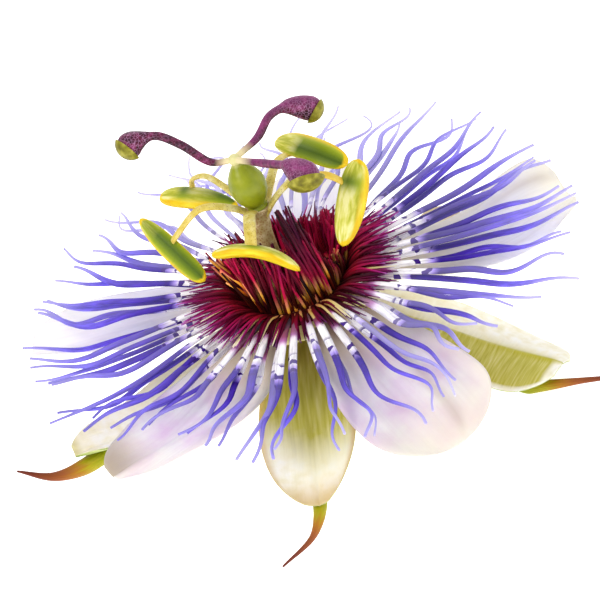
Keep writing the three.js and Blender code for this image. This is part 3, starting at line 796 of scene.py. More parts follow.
# The ruff: the same tissue, crimson where light passes through and almost black between, with a
# few cream threads at the front. The grain is how cream, share of the way along and brightness,
# which two sides raise as painted highlight.
ruff_skin, tree, shader = new_surface("maroon_thread", {
    "Roughness": 0.55, "Specular IOR Level": 0.12,
})
grain = add_node(tree, "Attribute", {}, attribute_name="grain").outputs["Vector"]
parts = add_node(tree, "SeparateXYZ", {"Vector": grain}).outputs
crimson = add_node(tree, "ValToRGB", {"Fac": parts["Y"]}, stops=[
    (0.0, "#e09a80"), (0.05, "#3a0408"), (0.2, "#580412"), (0.48, "#860824"), (0.75, "#920c50"),
    (0.92, "#861c6c"), (1.0, "#a45ca8"),
])
cream = add_node(tree, "ValToRGB", {"Fac": parts["Y"]}, stops=[
    (0.0, "#f2c49a"), (0.12, "#d88a5c"), (0.4, "#e2b864"), (0.75, "#e8d696"), (1.0, "#f4ecd0"),
])
bands = add_node(tree, "Mix", {0: parts["X"], 6: crimson, 7: cream}, data_type="RGBA")
shade = add_node(tree, "MapRange", {"Value": parts["Z"], "To Min": 0.16, "To Max": 1.75})
toned = add_node(tree, "HueSaturation", {"Color": bands, "Value": shade})
connect(shader, {"Base Color": toned})


def add_long_thread(bm, i):
    """Adds one of the long threads, which lie in two rows, one over the other."""
    upper = i % 2
    azimuth = (i + 0.5) * 360 / LONG_THREADS - 180 + 1.6 * jitter(i, 1)
    azimuth += (0.5 - upper) * 2.4 * stretch_at(azimuth, FRONT)
    reach = CORONA_REACH - stretch_at(azimuth, SHORT_SIDES) + 2.4 * jitter(i, 2)
    root_height = ROW_HEIGHTS[upper]
    tilt = CORONA_TILT * math.cos(math.radians(azimuth - HIGH_SIDE))
    droop = (1 if upper else -0.5) + 0.9 * jitter(i, 3) + tilt
    sway = 3.4 * jitter(i, 4)
    curve = smooth_curve([
        polar(THREAD_FOOT_RADIUS, azimuth, root_height),
        polar(15, azimuth, root_height + (0.9 if upper else 0.1)),
        polar(0.62 * reach, azimuth + 0.5 * sway, CORONA_HEIGHT + 0.3 + 0.8 * droop),
        polar(0.82 * reach, azimuth + 0.8 * sway, CORONA_HEIGHT + 0.4 + droop),
        polar(reach, azimuth + sway, CORONA_HEIGHT + 0.3 + 1.2 * droop),
    ])
    front = bump_at(azimuth, 4, 42, 1)
    behind = smoothstep(112, 160, azimuth) + smoothstep(-128, -165, azimuth)
    side_height = (0.5 + 0.9 * random(i, 21)) * (1 + 1.2 * behind)
    waves = (
        (side_height, 1.2 + (1.2 + behind) * random(i, 22), random(i, 23)),
        (0.6 * random(i, 27), 1.5 + random(i, 28), random(i, 29)),
    )
    hook = stretch_at(azimuth, HOOKED_SIDE) + (2.6 + 1.5 * behind) * jitter(i, 24) * random(i, 30)
    hook += 3.4 * front * random(i, 24)
    curl = (2.2 - 3.2 * front) * random(i, 36) - 0.4 + 0.6 * front
    curve = waved(curve, waves, hook, curl)
    size = (0.68 + 0.6 * random(i, 25)) * (1 - 0.1 * front) * (1 - 0.26 * behind)
    pale = (0.16 + 0.4 * front) * random(i, 37)
    pale = min(0.9, pale + 0.66 * behind * (0.6 + 0.8 * random(i, 38)))
    deep = 0.35 * random(i, 54) + bump_at(azimuth, 82, 42, 0.5 + 0.4 * random(i, 55))
    inky = stretch_at(azimuth, INKY_SIDE)

    def half_width(t):
        swell = bump_at(t, 0.56 - 0.28 * front, 0.24, 0.2)
        return size * (0.42 + swell - 0.2 * smoothstep(0.68 - 0.3 * front, 1, t))

    points = add_tube(
        bm, curve, half_width, lambda t: 0.32 - 0.14 * smoothstep(0.68, 1, t), 8, 44,
        lambda t, side, lift: (
            side, THREAD_FOOT_RADIUS + (reach - THREAD_FOOT_RADIUS) * t, random(i, 26)),
    )
    tone = bm.verts.layers.float_vector["tone"]
    for vert in points:
        near_tip = smoothstep(0.8 * reach, reach, math.hypot(vert.co.x, vert.co.y))
        faded = (0.45 - 0.36 * inky) * near_tip
        vert[tone] = (min(0.95, pale + faded), inky, min(1, deep))


def add_ruff_thread(bm, i, strand):
    """Adds one fine thread of the ruff, close to the solid thread i."""
    n = i * RUFF_STRANDS + strand
    azimuth = (i + 0.25) * 360 / RUFF_THREADS - 180 + 1.5 * jitter(i, 5) + 4.5 * jitter(n, 31)
    in_front = stretch_at(azimuth, FRONT)
    pair = 2 * 360 / LONG_THREADS
    over_pair = (math.floor((azimuth + 180) / pair) + 0.5) * pair - 180
    gathered = azimuth + 0.55 * in_front * (over_pair - azimuth)
    cream = 1 if random(n, 53) < 0.3 * in_front else 0
    reach = RUFF_REACH - 0.7 * in_front + stretch_at(azimuth, LONG_RUFF_SIDES)
    reach += 0.8 * jitter(i, 6) + 1.2 * jitter(n, 32)
    lift = (2.1 + jitter(i, 7) + 1.5 * jitter(n, 33)) * (1 - 0.7 * in_front) - 0.3 * cream
    spread = (1 - 0.75 * in_front) * (1 - 0.5 * cream)
    brightness = 0.5 if cream else random(n, 35) ** 1.8 * (1 - 0.35 * in_front)
    # Painted highlight on the left and far right sides.
    brightness += stretch_at(azimuth, HIGHLIGHTED_RUFF_SIDES)
    sway = spread * (4 * jitter(i, 8) + 6 * jitter(n, 34))
    curve = smooth_curve([
        polar(7.3 + 0.7 * random(n, 52), 0.5 * (azimuth + gathered), RING_TOP - 0.25),
        polar(10.5, gathered + 3 * spread * jitter(n, 47), RING_TOP + 0.7 * lift),
        polar(reach, gathered + sway, RING_TOP + lift - 0.4),
    ])
    add_tube(
        bm, curve, lambda t: 0.28 - 0.22 * t ** 2.5, lambda t: 0.2 - 0.13 * t ** 2.5, 6, 10,
        lambda t, side, lift: (cream, t, brightness),
    )


def add_ring(bm, inner_radius, outer_radius, bottom, top):
    """Adds the flat ring that the roots of a series stand in, in the threads' darkest shade."""
    spin_profile(bm, [
        (inner_radius, bottom), (outer_radius, bottom), (outer_radius, top), (inner_radius, top),
    ], 96)
    grain = bm.verts.layers.float_vector["grain"]
    for vert in bm.verts:
        vert[grain] = RING_GRAIN


bm = marked_bmesh("grain", "tone")
add_ring(bm, *CORONA_RING_RADII, CUP_TOP, RING_TOP)
for i in range(RUFF_THREADS):
    for strand in range(RUFF_STRANDS):
        add_ruff_thread(bm, i, strand)
ruff_faces = set(bm.faces)
for i in range(LONG_THREADS):
    add_long_thread(bm, i)
for face in bm.faces:
    face.material_index = 1 if face in ruff_faces else 0
close_tubes(bm)
finish_piece("corona_threads", bm, [thread_skin, ruff_skin], ["corona_outer"])

# ---------------------------------------------------------------- inner corona
# The pali: upright threads packed round the mouth of the cup, orange and cream at their feet and
# dark crimson above, in tufts of uneven height.

PALI = 46
PALI_STRANDS = 9
PALI_FOOT_RADIUS = 7
PALI_RING_RADII = (6.2, 7.5)
TUFTS = [                        # azimuth, (height, radius of the tips, lean round the column)
    (-180, (6.5, 6, 0)), (-120, (7, 7, 0)), (-88, (7.5, 9.6, -4)), (-62, (8.6, 8.6, -8)),
    (-42, (9.6, 6.4, -2)), (-24, (9.6, 6, 0)), (-4, (8.4, 6.2, -2)), (10, (8.6, 6.6, -2)),
    (19, (12.6, 6.2, -4)), (32, (13.4, 6.2, -11)), (44, (9.5, 6.2, -8)), (52, (3.4, 6.4, 0)),
    (70, (2.8, 7, 4)), (82, (4.6, 8.6, 6)), (104, (6.2, 9, 4)), (122, (5.6, 8.4, 3)),
    (150, (5.4, 8, -2)), (180, (6.5, 6, 0)),
]
COLOURED_HEIGHT = 11             # the height that the colours from foot to tip are drawn for

# Pali skin: as the ruff's, with cream and orange streaks that rise from the paler feet. The grain
# is how bright the thread is, at random and with painted highlight on the left and far right, its
# height with a start of its own, and how pale its foot is.
pali_skin, tree, shader = new_surface("crimson_pali", {
    "Roughness": 0.5, "Specular IOR Level": 0.15,
})
grain = add_node(tree, "Attribute", {}, attribute_name="grain").outputs["Vector"]
parts = add_node(tree, "SeparateXYZ", {"Vector": grain}).outputs
pale_feet = add_node(tree, "ValToRGB", {"Fac": parts["Y"]}, stops=[
    (0.0, "#5a1408"), (0.05, "#c8701c"), (0.12, "#f6b440"), (0.18, "#f0986c"), (0.3, "#c41446"),
    (0.6, "#900840"), (1.0, "#48042a"),
])
dark_feet = add_node(tree, "ValToRGB", {"Fac": parts["Y"]}, stops=[
    (0.0, "#3a0a04"), (0.15, "#2c0004"), (0.35, "#740622"), (0.7, "#960a3c"), (1.0, "#3c0418"),
])
pale = add_node(tree, "MapRange", {"Value": parts["Z"], "From Min": 0.5, "From Max": 0.66})
feet = add_node(tree, "Mix", {0: pale, 6: dark_feet, 7: pale_feet}, data_type="RGBA")
shade = add_node(tree, "MapRange", {"Value": parts["X"], "To Min": 0.28, "To Max": 1.55})
toned = add_node(tree, "HueSaturation", {"Color": feet, "Value": shade})
connect(shader, {"Base Color": toned})


def read_off(pairs, x):
    """Vector of values at x between (place, values) pairs."""
    for (low, values), (high, following) in zip(pairs, pairs[1:]):
        if x <= high:
            return Vector(values).lerp(Vector(following), smoothstep(low, high, x))
    return Vector(pairs[-1][1])


def add_palus(bm, i, strand):
    """Adds one fine upright thread, close to the solid thread i."""
    n = i * PALI_STRANDS + strand
    azimuth = (i + 0.5) * 360 / PALI - 180 + 2 * jitter(i, 9) + 4 * jitter(n, 41)
    height, tip_radius, lean = read_off(TUFTS, azimuth)
    height *= 1 + 0.12 * jitter(i, 10) + 0.22 * jitter(n, 42)
    tip_radius += 0.5 * jitter(i, 11) + 1.2 * jitter(n, 44)
    lean += 3 * jitter(i, 12) + 11 * jitter(n, 45)
    foot_radius = PALI_FOOT_RADIUS + 0.5 * jitter(n, 43)
    left = bump_at(azimuth, -75, 40, 1)
    far_right = bump_at(azimuth, 130, 42, 1)
    behind = smoothstep(60, 100, abs(azimuth + 10)) * (1 - left)
    start = 0.1 - 0.34 * random(n, 50) - 0.04 * left + 0.1 * behind + 0.26 * far_right
    pale_foot = random(n, 46) + bump_at(azimuth, 0, 50, 0.18) - 0.25 * behind + 0.3 * far_right
    # Painted highlight: threads on the left and far right are made brighter.
    bright_and_highlight = random(n, 49) ** 1.3 + 0.25 * left + 0.6 * far_right
    stretch = (1 - 0.5 * left) * (1 - 0.3 * far_right)
    curve = smooth_curve([
        polar(foot_radius, azimuth, RING_TOP - 0.6),
        polar(foot_radius + 0.4 * (tip_radius - foot_radius) + 0.6 * jitter(n, 48),
              azimuth + 0.4 * lean, RING_TOP + 0.45 * height),
        polar(tip_radius, azimuth + lean, RING_TOP + height),
    ])
    add_tube(
        bm, curve, lambda t: 0.29 - 0.15 * t ** 3, lambda t: 0.23 - 0.1 * t ** 3, 6, 12,
        lambda t, side, lift: (bright_and_highlight, t * height / COLOURED_HEIGHT * stretch + start, pale_foot),
    )


bm = marked_bmesh("grain")
add_ring(bm, *PALI_RING_RADII, CUP_TOP, RING_TOP - 0.3)
for i in range(PALI):
    for strand in range(PALI_STRANDS):
        add_palus(bm, i, strand)
close_tubes(bm)
finish_piece("corona_pali", bm, [pali_skin], ["corona_inner"])

# ---------------------------------------------------------------- operculum
# The lid of the nectar groove: a thin, pleated membrane that slopes up to the column's foot.

LID_PROFILE = [(5.7, 15.4), (5.9, 16), (3.4, 18.4), (2.9, 18)]
LID_PLEATS = 40
LID_PLEAT_HEIGHT = 0.12

# Lid skin: thin and moist, brown and dark red in blotches some 1.5 mm across.
lid_skin, tree, shader = new_surface("operculum_membrane", {
    "Roughness": 0.4, "Subsurface Weight": 0.2, "Subsurface Scale": 0.0006,
})
place = add_node(tree, "TexCoord", {}).outputs["Object"]
patches = add_node(tree, "TexNoise", {"Vector": place, "Scale": 700.0, "Detail": 3.0})
tint = add_node(tree, "ValToRGB", {"Fac": patches}, stops=[
    (0.35, "#5c1c18"), (0.52, "#a8602c"), (0.7, "#6c1024"),
])
connect(shader, {"Base Color": tint})

bm = bmesh.new()
spin_profile(bm, LID_PROFILE, 160)
for vert in bm.verts:
    free_edge = smoothstep(5.5, 3.2, math.hypot(vert.co.x, vert.co.y))
    pleat = math.cos(LID_PLEATS * math.atan2(vert.co.y, vert.co.x))
    vert.co.z += LID_PLEAT_HEIGHT * free_edge * pleat
finish_piece("nectar_lid", bm, [lid_skin], ["operculum"])

# ---------------------------------------------------------------- column and stamens
# The androgynophore: a stiff cream column, speckled with red-brown, with five flat strap-like
# stamen filaments grown to its top. They arch out and down to the anthers.

COLUMN_FOOT = Vector((0, 0, 14.5))
COLUMN_TOP = Vector((-0.95, 0, 33.2))
COLUMN_BOW = Vector((-1.4, 0, 0))
COLUMN_RADII = [                 # share of its height, (radius, 0)
    (0, (2.2, 0)), (0.12, (2, 0)), (0.33, (1.75, 0)), (0.58, (1.6, 0)), (0.76, (1.4, 0)),
    (0.9, (1.4, 0)), (1, (1.75, 0)),
]
STAMENS = [                      # half width, how dusted with pollen, path
    (1.0, 0.35, [
        (-1.7, -0.2, 32.2), (-2.4, -2.2, 33.8), (-3, -5, 33.8), (-3.8, -7.8, 32.5),
        (-4.2, -9, 31.4),
    ]),
    (0.9, 0.7, [
        (-0.4, -0.2, 31.4), (1.9, -1, 34), (5.2, -2.5, 36.5), (9.4, -4.2, 36.4),
        (11.8, -2.9, 33.2),
    ]),
    (0.85, 0.35, [
        (-0.4, 0.8, 31.4), (2, 3.6, 34), (4, 6.5, 35), (6, 8.4, 34.4), (8.4, 7.4, 33.6),
    ]),
    (0.55, 0.35, [
        (-1.2, 0.4, 31.4), (-3.4, 3.1, 34.6), (-6.2, 6.8, 37), (-8.4, 9.6, 35.8),
        (-8.9, 11.2, 33.2),
    ]),
    (0.95, 0.35, [(-1.4, 0, 31.4), (-4.1, 0, 34.2), (-8.7, 0, 36.3), (-14.2, 0.2, 33)]),
]

# Column skin: dull and slightly rough. The specks are about 0.3 mm across, denser on the column
# than on the filaments. The grain is how dusted with pollen it is, share of the way along and how
# speckled it is.
column_skin, tree, shader = new_surface("speckled_column", {
    "Roughness": 0.55, "Specular IOR Level": 0.25,
})
grain = add_node(tree, "Attribute", {}, attribute_name="grain").outputs["Vector"]
place = add_node(tree, "TexCoord", {}).outputs["Object"]
parts = add_node(tree, "SeparateXYZ", {"Vector": grain}).outputs
flesh = add_node(tree, "TexNoise", {"Vector": place, "Scale": 700.0, "Detail": 4.0})
strap = add_node(tree, "ValToRGB", {"Fac": flesh}, stops=[
    (0.3, "#c8b03c"), (0.5, "#e2d272"), (0.7, "#f2e8b0"),
])
stem = add_node(tree, "ValToRGB", {"Fac": flesh}, stops=[
    (0.3, "#9c854e"), (0.5, "#b8a26c"), (0.7, "#d6c69a"),
])
ground = add_node(tree, "Mix", {0: parts["Z"], 6: strap, 7: stem}, data_type="RGBA")
specks = add_node(tree, "TexVoronoi", {"Vector": place, "Scale": 2900.0, "Randomness": 1.0})
speck_size = add_node(tree, "MapRange", {"Value": parts["Z"], "To Min": 0.24, "To Max": 0.42})
speck = add_node(tree, "Math", {0: specks, 1: speck_size}, operation="LESS_THAN")
speck_share = add_node(tree, "Math", {0: speck, 1: 0.5}, operation="MULTIPLY")
speckled = add_node(tree, "Mix", {
    0: speck_share, 6: ground, 7: colour("#94552a"),
}, data_type="RGBA")
dusted = add_node(tree, "Mix", {0: parts["X"], 6: speckled, 7: colour("#e6bc2c")}, data_type="RGBA")
bump = add_node(tree, "Bump", {"Height": flesh, "Strength": 0.4, "Distance": 0.0003})
connect(shader, {"Base Color": dusted, "Normal": bump})

bm = marked_bmesh("grain")
add_tube(
    bm, smooth_curve([COLUMN_FOOT, COLUMN_FOOT.lerp(COLUMN_TOP, 0.55) + COLUMN_BOW, COLUMN_TOP]),
    lambda t: read_off(COLUMN_RADII, t)[0], lambda t: read_off(COLUMN_RADII, t)[0], 32, 48,
    lambda t, side, lift: (0, t, 1),
)
for half_width, dust, path in STAMENS:
    add_tube(
        bm, smooth_curve([Vector(point) for point in path]),
        lambda t: half_width * (1 - 0.15 * t), lambda t: 0.42 - 0.1 * t, 16, 32,
        lambda t, side, lift: (dust * smoothstep(0.4, 0.8, t), t, 0.25 * (1 - t) ** 2),
    )
close_tubes(bm)
finish_piece("column_and_stamens", bm, [column_skin], ["androgynophore"])

# ---------------------------------------------------------------- anthers
# Five flattened, bowed bars hung by their middles. The back is smooth and green, and the sides
# and belly are packed with yellow pollen, orange where it is ripest.

# Each anther lies between its ends with its back towards its face, bowed by its arch, and its
# back's middle line is turned by roll degrees. Pale and points are how pale and how square-cut it
# is at its first and last end, and seat is the share of the way along where it hangs.
ANTHERS = {
    "anther_front": {
        "node": "anther_1", "ends": ((-9.6, -6.3, 32.2), (1.2, -11.9, 27.9)),
        "face": (0.1, 0.45, 0.88), "arch": 1.7, "half_width": 1.7, "roll": -8, "pale": (1.1, 1),
        "points": (6, 2.8), "seat": 0.46,
    },
    "anther_right": {
        "node": "anther_2", "ends": ((15, -0.8, 34.6), (8.1, -8.7, 27)),
        "face": (0.25, -0.75, 0.6), "arch": 0.5, "half_width": 2.2, "roll": 36, "pale": (1, 1),
        "points": (3, 1.8), "seat": 0.3,
    },
    "anther_back_right": {
        "node": "anther_3", "ends": ((5.2, 12.3, 35.1), (13.3, 2.1, 32.7)),
        "face": (0.3, -0.65, 0.7), "arch": 0.9, "half_width": 2.1, "roll": 24, "pale": (1.5, -1),
        "points": (3.4, 3.4), "seat": 0.5,
    },
    "anther_back_left": {
        "node": "anther_4", "ends": ((-13.9, 13.2, 33.1), (-3.6, 5.5, 31.2)),
        "face": (-0.2, -0.3, 0.9), "arch": 0.9, "half_width": 1.8, "roll": -34, "pale": (1.8, -0.5),
        "points": (3.4, 1.6), "seat": 0.34,
    },
    "anther_left": {
        "node": "anther_5", "ends": ((-17.4, 4.2, 36.1), (-12, -3.4, 26.9)),
        "face": (-0.3, -0.75, 0.6), "arch": 0.4, "half_width": 1.6, "roll": -16,
        "pale": (0.5, -0.4), "points": (1.9, 4), "seat": 0.4,
    },
}
ANTHER_HALF_DEPTH = 0.95

# Anther skin: a waxy green back, paler or yellow as it ripens, with satin sacs of yellow pollen
# round it. Pollen grains are drawn 0.2 mm across, coarser than they are. The grain is side,
# distance along in millimetres and lift: 1 on the back. The tone is how pale and how near an end.
# An anther is paler at one end than at the other, and greenest at its seat on the filament.
anther_skin, tree, shader = new_surface("anther_wax_and_pollen", {
    "Roughness": 0.45, "Specular IOR Level": 0.3,
})
grain = add_node(tree, "Attribute", {}, attribute_name="grain").outputs["Vector"]
tone = add_node(tree, "Attribute", {}, attribute_name="tone").outputs["Vector"]
parts = add_node(tree, "SeparateXYZ", {"Vector": grain}).outputs
tone_parts = add_node(tree, "SeparateXYZ", {"Vector": tone}).outputs
streaks = add_node(tree, "TexNoise", {
    "Vector": add_node(tree, "Mapping", {"Vector": grain, "Scale": (2.2, 0.25, 1.2)}),
    "Scale": 1.0, "Detail": 3.0,
})
from_middle = add_node(tree, "Math", {0: parts["X"]}, operation="ABSOLUTE")
waxy = add_node(tree, "ValToRGB", {"Fac": from_middle}, stops=[
    (0.0, "#476002"), (0.35, "#627a04"), (0.7, "#8fa010"), (0.95, "#c2c428"),
])
bleached = add_node(tree, "ValToRGB", {"Fac": streaks}, stops=[
    (0.36, "#b2b42c"), (0.48, "#dad65e"), (0.6, "#f2ec9e"),
])
back = add_node(tree, "Mix", {0: tone_parts["X"], 6: waxy, 7: bleached}, data_type="RGBA")
belly = add_node(tree, "ValToRGB", {"Fac": streaks}, stops=[
    (0.3, "#e2ac04"), (0.5, "#eeca04"), (0.7, "#f6e030"),
])
ragged = add_node(tree, "Math", {0: streaks, 1: 0.5, 2: parts["Z"]}, operation="MULTIPLY_ADD")
from_end = add_node(tree, "Math", {0: ragged, 1: tone_parts["Y"]}, operation="SUBTRACT")
greenness = add_node(tree, "MapRange", {
    "Value": from_end, "From Min": 0.45, "From Max": 0.85,
}, interpolation_type="SMOOTHSTEP")
tint = add_node(tree, "Mix", {0: greenness, 6: belly, 7: back}, data_type="RGBA")
place = add_node(tree, "TexCoord", {}).outputs["Object"]
pollen = add_node(tree, "TexVoronoi", {"Vector": place, "Scale": 4500.0})
bump = add_node(tree, "Bump", {"Height": pollen, "Strength": 0.2, "Distance": 0.0002})
connect(shader, {"Base Color": tint, "Normal": bump})


def add_anther(bm, shape):
    """Adds one anther, with a shallow groove along its back where the two halves meet."""
    grain = bm.verts.layers.float_vector["grain"]
    tone = bm.verts.layers.float_vector["tone"]
    first, last = (Vector(end) for end in shape["ends"])
    along = (last - first).normalized()
    across = along.cross(Vector(shape["face"])).normalized()
    lift = across.cross(along)
    peak = (first + last) / 2 + lift * 2 * shape["arch"]
    sheet = bmesh.ops.create_grid(bm, x_segments=32, y_segments=48, size=1)["verts"]
    for vert in sheet:
        t = (vert.co.y + 1) / 2
        angle = -math.pi * vert.co.x
        side, up = math.cos(angle), math.sin(angle)
        blunt = shape["points"][0] if t < 0.5 else shape["points"][1]
        rounded = math.sqrt(max(0.004, 1 - abs(2 * t - 1) ** blunt))
        groove = bump_at(side, 0, 0.22, 0.16) * max(up, 0) * rounded
        centre = first * (1 - t) ** 2 + peak * 2 * t * (1 - t) + last * t * t
        tangent = ((peak - first) * (1 - t) + (last - peak) * t).normalized()
        rising = across.cross(tangent)
        turned = angle + math.radians(shape["roll"])
        vert[grain] = (math.cos(turned), (last - first).length * t, math.sin(turned))
        paleness = shape["pale"][0] * (1 - t) + shape["pale"][1] * t
        paleness -= bump_at(t, shape["seat"], 0.1, 0.95)
        vert[tone] = (min(max(paleness, 0), 1), 0.9 * smoothstep(0.78, 1, abs(2 * t - 1)), 0)
        vert.co = (centre + across * side * shape["half_width"] * rounded
                   + rising * (up * ANTHER_HALF_DEPTH * rounded - groove))


for name, shape in ANTHERS.items():
    bm = marked_bmesh("grain", "tone")
    add_anther(bm, shape)
    close_tubes(bm)
    finish_piece(name, bm, [anther_skin], [shape["node"]])

# ---------------------------------------------------------------- ovary
# An egg-shaped green ovary on top of the column: three faint lobes under a smooth waxy skin, and
# a small cream knob at its point, where the styles part.

OVARY_RADIUS = 2.7
OVARY_LENGTH = 8.2
OVARY_FOOT = COLUMN_TOP
OVARY_TOP = Vector((-1.5, 0, COLUMN_TOP.z + CLEARANCE + OVARY_LENGTH))
OVARY_STALK_RADIUS = 1.6
OVARY_LOBES = 3
OVARY_LOBE_DEPTH = 0.02          # share of the radius
KNOB_RADIUS = 0.9

# Ovary skin: waxy and finely stippled, in olive patches some 4 mm across, and cream at the knob.
# The grain is side, share of the way up and lift.
ovary_skin, tree, shader = new_surface("waxy_ovary", {"Roughness": 0.35, "Specular IOR Level": 0.4})
grain = add_node(tree, "Attribute", {}, attribute_name="grain").outputs["Vector"]
parts = add_node(tree, "SeparateXYZ", {"Vector": grain}).outputs
place = add_node(tree, "TexCoord", {}).outputs["Object"]
blotches = add_node(tree, "TexNoise", {"Vector": place, "Scale": 260.0, "Detail": 3.0})
olive = add_node(tree, "ValToRGB", {"Fac": blotches}, stops=[
    (0.3, "#788404"), (0.5, "#929a14"), (0.7, "#b0b03c"),
])
creamy = add_node(tree, "MapRange", {"Value": parts["Y"], "From Min": 0.88, "From Max": 0.98})
tint = add_node(tree, "Mix", {0: creamy, 6: olive, 7: colour("#ded89a")}, data_type="RGBA")
stipple = add_node(tree, "TexNoise", {"Vector": place, "Scale": 3500.0, "Detail": 2.0})
bump = add_node(tree, "Bump", {"Height": stipple, "Strength": 0.2, "Distance": 0.0002})
connect(shader, {"Base Color": tint, "Normal": bump})


def ovary_radius(t):
    """Radius of the ovary at a share of its length: fuller below and pointed above."""
    t = min(max(t, 0.002), 0.998)
    body = OVARY_RADIUS * math.sin(math.pi * t ** 0.86) ** (0.6 + 0.3 * t)
    return max(body, OVARY_STALK_RADIUS * (1 - smoothstep(0.02, 0.1, t)))


bm = marked_bmesh("grain")
grain = bm.verts.layers.float_vector["grain"]
add_tube(
    bm, smooth_curve([OVARY_FOOT, OVARY_FOOT.lerp(OVARY_TOP, 0.5), OVARY_TOP]),
    ovary_radius, ovary_radius, 48, 56, lambda t, side, lift: (side, t, lift),
)
for vert in bm.verts:
    around = math.atan2(vert.co.y, vert.co.x - OVARY_TOP.x)
    lobed = (OVARY_LOBE_DEPTH * math.cos(OVARY_LOBES * around)
             * smoothstep(0, 0.3, vert[grain].y))
    vert.co.x += (vert.co.x - OVARY_TOP.x) * lobed
    vert.co.y += vert.co.y * lobed
close_tubes(bm)
knob = bmesh.ops.create_uvsphere(
    bm, u_segments=24, v_segments=16, radius=KNOB_RADIUS, matrix=Matrix.Translation(OVARY_TOP),
)["verts"]
for vert in knob:
    vert[grain] = (0, 1, 0)
finish_piece("ovary_body", bm, [ovary_skin], ["ovary"])

# ---------------------------------------------------------------- styles and stigmas
# Three purple styles spread from the knob like horns. Each swells at its end into a boot-shaped
# head, netted with pink over maroon, that wears a fleshy olive-green stigma as a cap.

STYLES = {   # node number, radius of the head, how violet, path, stigma: spread, way it faces
    "left": ("1", 1.9, 0.15, [
        (-1.7, 0, 41.8), (-4.6, 0.8, 42.2), (-7.7, 1.3, 46.4), (-10.5, 1.8, 49), (-13.4, 2.3, 49.1),
        (-16, 2.7, 48),
    ], 1.05, (-0.88, -0.4, -0.36)),
    "back_right": ("2", 1.85, 0.9, [
        (-1.3, 0.2, 41.8), (2.7, 1.9, 42.6), (5.4, 3.8, 44), (8.3, 5.7, 43.3), (12.6, 8.2, 39.5),
    ], 1.05, (0.62, -0.42, -0.66)),
    "front_right": ("3", 2.1, 1, [
        (-1.4, -0.3, 41.8), (1.7, -3.4, 41.6), (3.6, -7, 42.5), (5.2, -9.8, 43), (7.8, -13.2, 40.9),
    ], 1.22, (-0.12, -0.74, -0.68)),
}
STYLE_RADIUS = 0.62
STIGMA_GROWTH = 1.12             # the stigma's radius over the head's
STIGMA_START = 0.38              # how far its edge lies from the head's middle, in head radii
RIM_RADIUS = 0.3
CURVE_SAMPLES = 400

# Style skin: a thin violet skin, darkest in cells some 0.4 mm across with a paler net between
# them, and plainer on top. The grain is how violet, share of the way along and lift.
style_skin, tree, shader = new_surface("netted_style", {
    "Roughness": 0.45, "Specular IOR Level": 0.25,
})
grain = add_node(tree, "Attribute", {}, attribute_name="grain").outputs["Vector"]
parts = add_node(tree, "SeparateXYZ", {"Vector": grain}).outputs
place = add_node(tree, "TexCoord", {}).outputs["Object"]
flecks = add_node(tree, "TexNoise", {"Vector": place, "Scale": 900.0, "Detail": 4.0})
cells = add_node(tree, "ValToRGB", {"Fac": flecks}, stops=[
    (0.38, "#28040e"), (0.48, "#4a0c24"), (0.56, "#6a1c40"), (0.68, "#8e3a6c"),
])
torn = add_node(tree, "VectorMath", {0: place, 1: flecks.outputs["Color"]}, operation="ADD")
warped = add_node(tree, "Mix", {0: 0.0006, 4: place, 5: torn}, data_type="VECTOR")
net = add_node(tree, "TexVoronoi", {"Vector": warped, "Scale": 2300.0}, feature="DISTANCE_TO_EDGE")
netted = add_node(tree, "MapRange", {
    "Value": net, "From Min": 0.01, "From Max": 0.09, "To Min": 0.6, "To Max": 0.0,
})
on_head = add_node(tree, "MapRange", {
    "Value": parts["Y"], "From Min": 0.5, "From Max": 0.75, "To Min": 0.35, "To Max": 1.0,
})
net_share = add_node(tree, "Math", {0: netted, 1: on_head}, operation="MULTIPLY")
violet = add_node(tree, "Mix", {0: net_share, 6: cells, 7: colour("#c894bc")}, data_type="RGBA")
above = add_node(tree, "MapRange", {
    "Value": parts["Z"], "From Min": -0.2, "From Max": 1.0, "To Min": 0.0, "To Max": 0.6,
})
flush = add_node(tree, "Math", {0: above, 1: parts["X"]}, operation="MULTIPLY")
flushed = add_node(tree, "Mix", {0: flush, 6: violet, 7: colour("#93407c")}, data_type="RGBA")
base = add_node(tree, "MapRange", {"Value": parts["Y"], "From Min": 0.06, "From Max": 0.18})
tint = add_node(tree, "Mix", {0: base, 6: colour("#e6d8a8"), 7: flushed}, data_type="RGBA")
bump = add_node(tree, "Bump", {"Height": flecks, "Strength": 0.4, "Distance": 0.0003})
connect(shader, {"Base Color": tint, "Normal": bump})

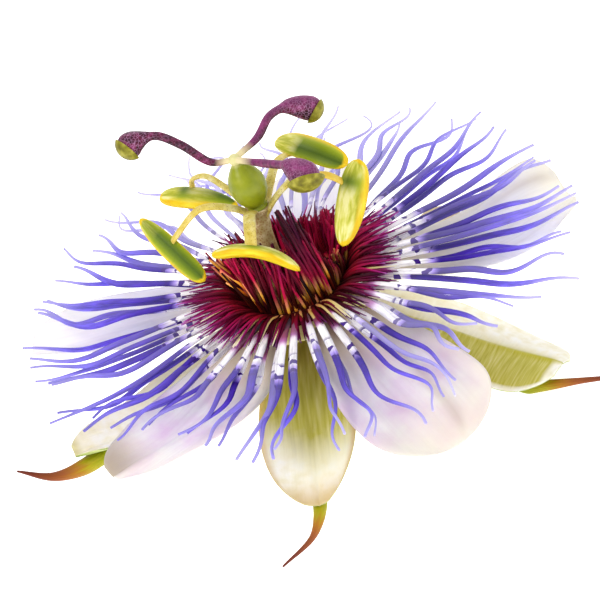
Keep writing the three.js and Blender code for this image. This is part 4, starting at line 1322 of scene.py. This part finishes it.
# Stigma: damp, fleshy and finely grained.
stigma_skin, tree, shader = new_surface("olive_stigma", {
    "Roughness": 0.5, "Specular IOR Level": 0.3,
})
place = add_node(tree, "TexCoord", {}).outputs["Object"]
patches = add_node(tree, "TexNoise", {"Vector": place, "Scale": 900.0, "Detail": 4.0})
tint = add_node(tree, "ValToRGB", {"Fac": patches}, stops=[
    (0.3, "#5c5408"), (0.5, "#827c14"), (0.7, "#aca43a"),
])
bump = add_node(tree, "Bump", {"Height": patches, "Strength": 0.4, "Distance": 0.0003})
connect(shader, {"Base Color": tint, "Normal": bump})


for name, (number, head_radius, violet_share, path, wider, faces_to) in STYLES.items():
    curve = smooth_curve([Vector(point) for point in path])
    end = curve(1)
    round_share = next(           # the share of the curve that its rounded end takes up
        j / CURVE_SAMPLES for j in range(CURVE_SAMPLES)
        if (end - curve(1 - j / CURVE_SAMPLES)).length >= head_radius
    )

    def style_radius(t):
        slim = STYLE_RADIUS * (0.75 + 0.25 * smoothstep(0.1, 0.3, t))
        swollen = slim + (head_radius - slim) * smoothstep(0.62, 1 - 0.9 * round_share, t)
        past = max(0, (t - 1 + round_share) / round_share)
        return swollen * math.sqrt(max(0.0001, 1 - past ** 2))

    bm = marked_bmesh("grain")
    add_tube(
        bm, curve, style_radius, style_radius, 24, 80,
        lambda t, side, lift: (violet_share, t, lift),
    )
    close_tubes(bm)
    finish_piece(f"style_{name}", bm, [style_skin], [f"style_{number}"])

    facing = Vector(faces_to).normalized()
    head = curve(1 - round_share)
    bm = bmesh.new()
    bmesh.ops.create_uvsphere(
        bm, u_segments=48, v_segments=32, radius=head_radius * STIGMA_GROWTH,
        matrix=Matrix.Translation(head),
    )
    spread = Matrix.Scale(wider, 4) @ Matrix.Scale(1 / wider, 4, facing)
    bmesh.ops.transform(bm, matrix=spread, space=Matrix.Translation(-head), verts=bm.verts)
    bmesh.ops.bisect_plane(
        bm, geom=bm.verts[:] + bm.edges[:] + bm.faces[:], dist=1e-5,
        plane_co=head + facing * STIGMA_START * head_radius, plane_no=facing, clear_inner=True,
    )
    rim = [edge for edge in bm.edges if edge.is_boundary]
    bmesh.ops.holes_fill(bm, edges=rim, sides=0)
    bmesh.ops.bevel(
        bm, geom=rim, offset=RIM_RADIUS, affect="EDGES", segments=4, profile=0.5, material=-1,
        clamp_overlap=True,
    )
    bmesh.ops.recalc_face_normals(bm, faces=bm.faces)
    finish_piece(f"stigma_{name}", bm, [stigma_skin], [f"stigma_{number}"])
